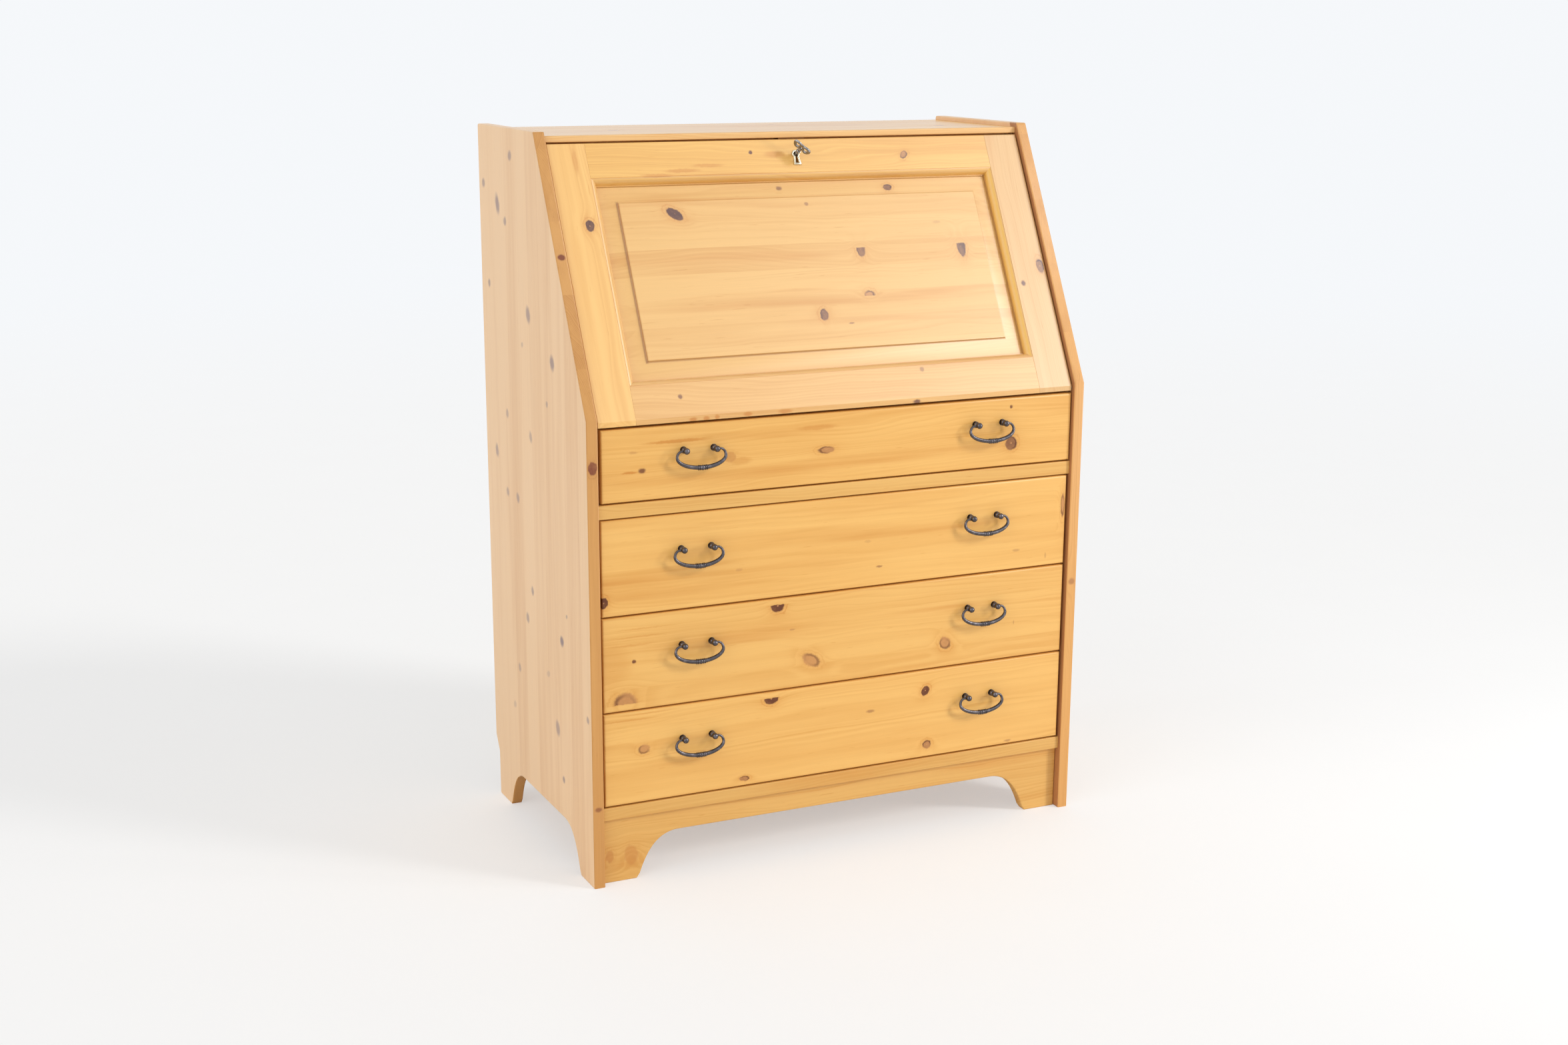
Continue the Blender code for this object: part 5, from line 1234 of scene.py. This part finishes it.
class SECRETARY_OT_lock(bpy.types.Operator):
    """Keyhole plate and key."""

    bl_idname = "secretary.lock"
    bl_label = "Keyhole Plate and Key"

    def execute(self, context):
        colours = context.scene.secretary_colours
        rim, height = 0.0035, 0.0022
        outer = keyhole(*KEYHOLE_PLATE)
        a = np.linspace(0.0, np.pi, 9)
        inset = np.concatenate([[0.0], rim * 0.5 * (1.0 - np.cos(a)), [rim]])
        level = np.concatenate([[0.0002], 0.0002 + height * np.sin(a) ** 0.7, [0.0002]])
        rings = outer[None] + inset[:, None, None] * inward(outer)[None]
        points = np.concatenate([rings, np.broadcast_to(level[:, None, None], (*rings.shape[:2], 1))], 2)
        plate_metal = metal("keyhole_plate_brass", tuple(colours.brass), 0.28, 1.25)
        piece("keyhole_plate", [grid_shell(placed(points, FALL_FRAME), True, True, caps=False)], plate_metal, "fall",
              ("escutcheon",))
        self.key(tuple(colours.steel))
        return {"FINISHED"}

    def key(self, colour):
        """Key: turned shank with a collar, two ring eyes side by side, and a small bud between them."""
        turn = math.radians(45)
        cross = ACROSS * math.cos(turn) + UP * math.sin(turn)
        wide = UP * math.cos(turn) - ACROSS * math.sin(turn)
        shank_frame = axes(cross, wide, OUT, KEY_AT)
        bow_frame = axes(wide, OUT, cross, KEY_AT)
        shank = [
            (0.0, -0.0122), (0.0023, -0.0122), (0.0025, 0.0072), (0.0031, 0.0078), (0.0031, 0.0086), (0.0026, 0.0092),
            (0.0026, 0.0106), (0.0037, 0.0114), (0.0040, 0.0125), (0.0037, 0.0136), (0.0026, 0.0143), (0.0025, 0.0160),
            (0.0031, 0.0172), (0.0031, 0.0184), (0.0020, 0.0198), (0.0018, 0.0214), (0.0, 0.0218),
        ]
        t = np.linspace(0.0, 2 * np.pi, 40, endpoint=False)
        shells = [lathe_shell(shank, shank_frame, 24)]
        for hand in (-1.0, 1.0):
            rise = 0.0258 + 0.0056 * np.sin(t) + 0.0009 * np.cos(2 * t)
            eye = np.stack([hand * (0.0076 + 0.0054 * np.cos(t)), rise], 1)
            shells.append(swept_shell(eye, 0.0024 + 0.0003 * np.cos(t), bow_frame, 14, True, 0.8))
            curl = np.stack([hand * (0.0013 + 0.0018 * np.cos(t)), 0.0296 + 0.0018 * np.sin(t)], 1)
            shells.append(swept_shell(curl, 0.0011, bow_frame, 10, True))
        bit = np.array([(-0.0085, -0.0118), (0.0, -0.0118), (0.0, -0.0111), (-0.0085, -0.0111)])
        shells.append(board_shell(bit, -0.0011, 0.0011, 0.0002, bow_frame, 1))
        piece("key_piece", shells, metal("key_steel", colour, 0.3, 1.5), "key", ("key",), 40.0)


class SECRETARY_OT_drawer_fronts(bpy.types.Operator):
    """Drawer fronts with rounded edges and their own knots."""

    bl_idname = "secretary.drawer_fronts"
    bl_label = "Drawer Fronts"

    def execute(self, context):
        sizes = context.scene.secretary_sizes
        boards = (
            (1.2, ONE_STAVE, 0.36, 1.0), (2.6, 0.062, 0.26, 1.0), (3.4, 0.075, 0.42, 0.97), (5.8, 0.08, 0.40, 0.985),
        )
        for number, (seed, stave, contrast, shade) in enumerate(boards, 1):
            name = f"drawer_{number}_front"
            low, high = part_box(name)
            under, over = low.z + DRAWER_TRIM, high.z - DRAWER_TRIM
            outline = np.array([(low.x, under), (high.x, under), (high.x, over), (low.x, over)])
            finish = honey(context, f"{name}_pine", FRONT_FRAME, KNOTS[name], seed=seed, stave=stave, ring=0.0058,
                           contrast=contrast, tone=0.25, rough=0.38, shade=shade)
            shell = board_shell(outline, -DRAWER_FRONT_T, 0.0, sizes.drawer_ease, FRONT_FRAME, 4)
            piece(f"{name}_piece", [shell], finish, f"drawer_{number}", (name,))
        return {"FINISHED"}


class SECRETARY_OT_pulls(bpy.types.Operator):
    """Pewter pulls: turned posts and swelling bails with five beads."""

    bl_idname = "secretary.pulls"
    bl_label = "Bail Pulls"

    def post(self, place, reach):
        """Turned post: foot ring, back ball, neck and front ball."""
        a = np.linspace(0.06 * np.pi, 0.78 * np.pi, 12)
        ball = np.stack([0.0049 * np.sin(a), reach - 0.0049 + 0.0049 * np.cos(a)], 1)
        b = np.linspace(0.24 * np.pi, 0.86 * np.pi, 8)
        back_ball = np.stack([0.0050 * np.sin(b), 0.0046 + 0.0045 * np.cos(b)], 1)
        top = np.array([(0.0, reach)])
        neck = np.array([(0.0034, 0.0096), (0.0033, 0.0091), (0.0034, 0.0085)])
        foot = np.array([(0.0043, 0.0008), (0.0053, 0.0007), (0.0053, -0.0004), (0.0, -0.0004)])
        return lathe_shell(np.concatenate([top, ball, neck, back_ball, foot])[::-1], place, 28)

    def bail(self, centre, sizes, spacing):
        """Bail: pin, quarter ellipse out of it, half ellipse below, thicker in the middle, with five beads.

        Half ellipse: (w cos a, -d - e sin a). Beads have the radius c + s sqrt(1 - (x - xi)^2 / h^2).
        """
        half_post, end_r, middle_r, shoulder_drop = spacing / 2, 0.0018, 0.0033, 0.0098
        shoulder = half_post + 0.0038 + end_r
        wide, lower = sizes.bail_half_width, sizes.bail_drop - shoulder_drop
        a = np.linspace(0.0, np.pi / 2, 14)[:-1]
        bend = np.stack([-shoulder - (wide - shoulder) * np.sin(a), shoulder_drop * (np.cos(a) - 1.0)], 1)
        b = np.linspace(0.0, np.pi, 49)
        b = np.concatenate([b[b < 1.3], np.linspace(1.3, np.pi - 1.3, 91), b[b > np.pi - 1.3]])
        bow = np.stack([-wide * np.cos(b), -shoulder_drop - lower * np.sin(b)], 1)
        pin = np.array([(-half_post + 0.001, 0.0)])
        path = np.concatenate([pin, bend, bow, bend[::-1] * (-1, 1), -pin])
        deep = np.clip(-path[:, 1] / sizes.bail_drop, 0.0, 1.0)
        radius = end_r + (middle_r - end_r) * deep**1.1
        x, below = path[:, 0], path[:, 1] < -shoulder_drop
        beaded = below & (np.abs(x) < 0.0082)
        beads = np.zeros(len(path))
        for place, half in ((-0.0068, 0.0012), (-0.0041, 0.0013), (0.0, 0.0027), (0.0041, 0.0013), (0.0068, 0.0012)):
            beads = np.maximum(beads, np.sqrt(np.clip(1.0 - ((x - place) / half) ** 2, 0.0, 1.0)))
        radius = np.where(beaded, 0.0029 + 0.0012 * beads, radius)
        bail_frame = axes(ACROSS, RISING, -ALONG_DEPTH, centre)
        return swept_shell(path, radius, bail_frame, 20, lift=sizes.bail_bow * deep**1.5)

    def execute(self, context):
        sizes, colours = context.scene.secretary_sizes, context.scene.secretary_colours
        pewter = metal("dark_pewter", tuple(colours.pewter), 0.30, 1.9)
        for number in range(1, 5):
            posts = []
            for side in ("left", "right"):
                centre = Vector(joint(f"bail_{number}_{side}_swing")["pos_m"])
                for hand in (-0.5, 0.5):
                    foot = Vector((centre.x + hand * POST_SPACING, FACE, centre.z))
                    posts.append(self.post(axes(ACROSS, RISING, -ALONG_DEPTH, foot), sizes.post_reach))
                name = f"bail_{number}_{side}"
                piece(f"{name}_piece", [self.bail(centre, sizes, POST_SPACING)], pewter, name, (name,))
            piece(f"drawer_{number}_posts", posts, pewter, f"drawer_{number}")
        return {"FINISHED"}


class SECRETARY_OT_inside(bpy.types.Operator):
    """Finishes of the boards and fittings inside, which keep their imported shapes."""

    bl_idname = "secretary.inside"
    bl_label = "Inside Finishes"

    def execute(self, context):
        colours = context.scene.secretary_colours
        light, dark = tuple(colours.bare_light), tuple(colours.bare_dark)
        across = pine("bare_pine_across", axes(ACROSS, ALONG_DEPTH, RISING, (0.0, 0.0, 0.0)), light, dark, seed=2.2,
                      stave=0.06, contrast=0.5, rough=0.5)
        along = pine("bare_pine_along", axes(ALONG_DEPTH, RISING, ACROSS, (0.0, 0.0, 0.0)), light, dark, seed=4.4,
                     stave=0.09, contrast=0.5, rough=0.55)
        ply = pine("plywood_face", axes(ACROSS, ALONG_DEPTH, RISING, (0.0, 0.0, 0.05)), tuple(colours.ply_light),
                   tuple(colours.ply_dark), seed=6.6, stave=0.5, ring=0.012, contrast=0.5, rough=0.6)
        back = pine("plywood_back", axes(RISING, ACROSS, ALONG_DEPTH, (0.0, 0.0, 0.0)), tuple(colours.ply_light),
                    tuple(colours.ply_dark), seed=8.6, stave=0.5, ring=0.012, contrast=0.5, rough=0.6)
        steel = metal("plated_steel", tuple(colours.steel), 0.32, 1.3)
        # Strike plate in the brown of the shaded gap: painted shade
        gap_shade = metal("gap_shade_steel", GAP_SHADE_BROWN, 0.45, 1.3)
        fittings = ("hinge_pin", "stay_bar", "stay_bracket", "stay_track")
        kinds = {
            "desk_board": across, "gallery_shelf": across, "gallery_divider": along, "back_panel": back,
            **{f"runner_{n}_{s}": along for n in (2, 3) for s in ("left", "right")},
            **{f"drawer_{n}_{s}_side": along for n in range(1, 5) for s in ("left", "right")},
            **{f"drawer_{n}_back": across for n in range(1, 5)},
            **{f"drawer_{n}_bottom": ply for n in range(1, 5)},
            **{f"{n}_{s}": steel for n in fittings for s in ("left", "right")},
            **{n: steel for n in ("lock_case", "lock_bolt")}, "strike_plate": gap_shade,
        }
        for name, finish in kinds.items():
            node = frame["nodes"][name]
            node.data.materials.clear()
            node.data.materials.append(finish)
        return {"FINISHED"}


class SECRETARY_OT_stage(bpy.types.Operator):
    """Pale floor, white surroundings, soft lamps and the camera."""

    bl_idname = "secretary.stage"
    bl_label = "Stage"

    def execute(self, context):
        context.scene.view_settings.view_transform = "Standard"
        self.floor()
        self.world(context)
        self.sun("key_sun", KEY_FROM, KEY_STRENGTH, KEY_SPREAD)
        self.lamp("key_lamp", LAMP_AT, LAMP_TARGET, LAMP_SIZE, LAMP_POWER)
        self.sun("fill_sun", FILL_FROM, FILL_STRENGTH, FILL_SPREAD)
        self.camera(context)
        return {"FINISHED"}

    def floor(self):
        """Wide pale disc: to the camera its shadows are softer, and far off it fades into the surroundings."""
        a = np.linspace(0.0, 2 * np.pi, FLOOR_SIDES, endpoint=False)
        ring = FLOOR_RADIUS * np.stack([np.cos(a), np.sin(a), np.zeros(FLOOR_SIDES)], 1)
        mesh = bpy.data.meshes.new("floor")
        mesh.from_pydata(ring.tolist(), [], [list(range(FLOOR_SIDES))])
        finish, tree, shader = new_finish("pale_floor")
        coordinates = add_node(tree, "ShaderNodeTexCoord").outputs["Object"]
        mottle = stretched_noise(tree, coordinates, (5.0, 5.0, 5.0), 4.0)
        tone = blend_colour(tree, mottle, *FLOOR_TONES)
        camera_ray = add_node(tree, "ShaderNodeLightPath").outputs["Is Camera Ray"]
        tone = blend_colour(tree, calc(tree, "MULTIPLY", camera_ray, FLOOR_FADE), tone, (0.0, 0.0, 0.0, 1.0))
        connect(tree, shader, {
            "Base Color": tone, "Roughness": 0.7, "Specular IOR Level": 0.1, "Emission Color": (1.0, 1.0, 1.0, 1.0),
            "Emission Strength": calc(tree, "MULTIPLY", camera_ray, FLOOR_LIFT),
        })
        far = ramp(tree, vector_calc(tree, "LENGTH", coordinates, output="Value"), *FLOOR_ENDS)
        glow = add_node(tree, "ShaderNodeEmission", {"Color": SURROUNDINGS, "Strength": SURROUND_LEVEL})
        faded = add_node(tree, "ShaderNodeMixShader",
                         {0: calc(tree, "MULTIPLY", far, camera_ray), 1: shader.outputs[0], 2: glow.outputs[0]})
        tree.links.new(faded.outputs[0], tree.nodes["Material Output"].inputs["Surface"])
        mesh.materials.append(finish)
        obj = in_scene("floor", mesh)

    def world(self, context):
        """White to the camera and in reflections; a plainer level where it lights the object."""
        world = bpy.data.worlds.new("studio")
        context.scene.world = world
        world.use_nodes = True
        tree = world.node_tree
        background = tree.nodes["Background"]
        background.inputs["Color"].default_value = SURROUNDINGS
        path = add_node(tree, "ShaderNodeLightPath")
        seen = calc(tree, "MAXIMUM", path.outputs["Is Camera Ray"], path.outputs["Is Glossy Ray"])
        seen = calc(tree, "MAXIMUM", seen, path.outputs["Is Transmission Ray"])
        level = calc(tree, "MULTIPLY_ADD", seen, SURROUND_LEVEL - WORLD_LIGHT, WORLD_LIGHT)
        tree.links.new(level, background.inputs["Strength"])

    def sun(self, name, towards, strength, spread):
        """Wide soft daylight from one direction, the same all over the floor."""
        data = bpy.data.lights.new(name, "SUN")
        data.energy = strength
        data.angle = math.radians(spread)
        obj = in_scene(name, data)
        obj.rotation_euler = (-Vector(towards)).to_track_quat("-Z", "Y").to_euler()

    def lamp(self, name, place, target, size, power):
        """Round soft box facing a target."""
        data = bpy.data.lights.new(name, "AREA")
        data.shape = "DISK"
        data.size = size
        data.energy = power
        obj = in_scene(name, data)
        obj.location = place
        obj.rotation_euler = (Vector(target) - Vector(place)).to_track_quat("-Z", "Y").to_euler()

    def camera(self, context):
        """Camera at the photo's place: heading, tilt and roll as turns of the look direction."""
        heading, tilt, roll = CAMERA_TURN
        look = Vector((-math.sin(heading) * math.cos(tilt), math.cos(heading) * math.cos(tilt), math.sin(tilt)))
        right = Vector((math.cos(heading), math.sin(heading), 0.0))
        above = right.cross(look)
        right, above = (
            right * math.cos(roll) + above * math.sin(roll),
            above * math.cos(roll) - right * math.sin(roll),
        )
        data = bpy.data.cameras.new("camera")
        data.lens = CAMERA_LENS
        data.shift_x, data.shift_y = CAMERA_SHIFT
        obj = in_scene("camera", data)
        turned = Matrix((right, above, -look)).transposed().to_4x4()
        turned.translation = Vector(CAMERA_AT) + Vector((0.0, FRONT, 0.0))
        obj.matrix_world = turned
        context.scene.camera = obj


class SECRETARY_PT_looks(bpy.types.Panel):
    """Lists the pieces of the secretary and its sizes and colours."""

    bl_idname = "SECRETARY_PT_looks"
    bl_label = "Fall-Front Secretary"
    bl_space_type = "VIEW_3D"
    bl_region_type = "UI"
    bl_category = "Secretary"

    def draw(self, context):
        for operator in STEPS:
            self.layout.operator(operator.bl_idname)
        for group in (context.scene.secretary_sizes, context.scene.secretary_colours):
            column = self.layout.column()
            for key in group.__annotations__:
                column.prop(group, key)


STEPS = (
    SECRETARY_OT_sides,
    SECRETARY_OT_carcass,
    SECRETARY_OT_fall,
    SECRETARY_OT_lock,
    SECRETARY_OT_drawer_fronts,
    SECRETARY_OT_pulls,
    SECRETARY_OT_inside,
    SECRETARY_OT_stage,
)
CLASSES = (SecretarySizes, SecretaryColours, *STEPS, SECRETARY_PT_looks)


def register():
    for cls in CLASSES:
        bpy.utils.register_class(cls)
    bpy.types.Scene.secretary_sizes = PointerProperty(type=SecretarySizes)
    bpy.types.Scene.secretary_colours = PointerProperty(type=SecretaryColours)


def unregister():
    del bpy.types.Scene.secretary_colours
    del bpy.types.Scene.secretary_sizes
    for cls in reversed(CLASSES):
        bpy.utils.unregister_class(cls)


def main():
    register()
    for operator in STEPS:
        group, action = operator.bl_idname.split(".")
        getattr(getattr(bpy.ops, group), action)()


if __name__ == "__main__":
    main()
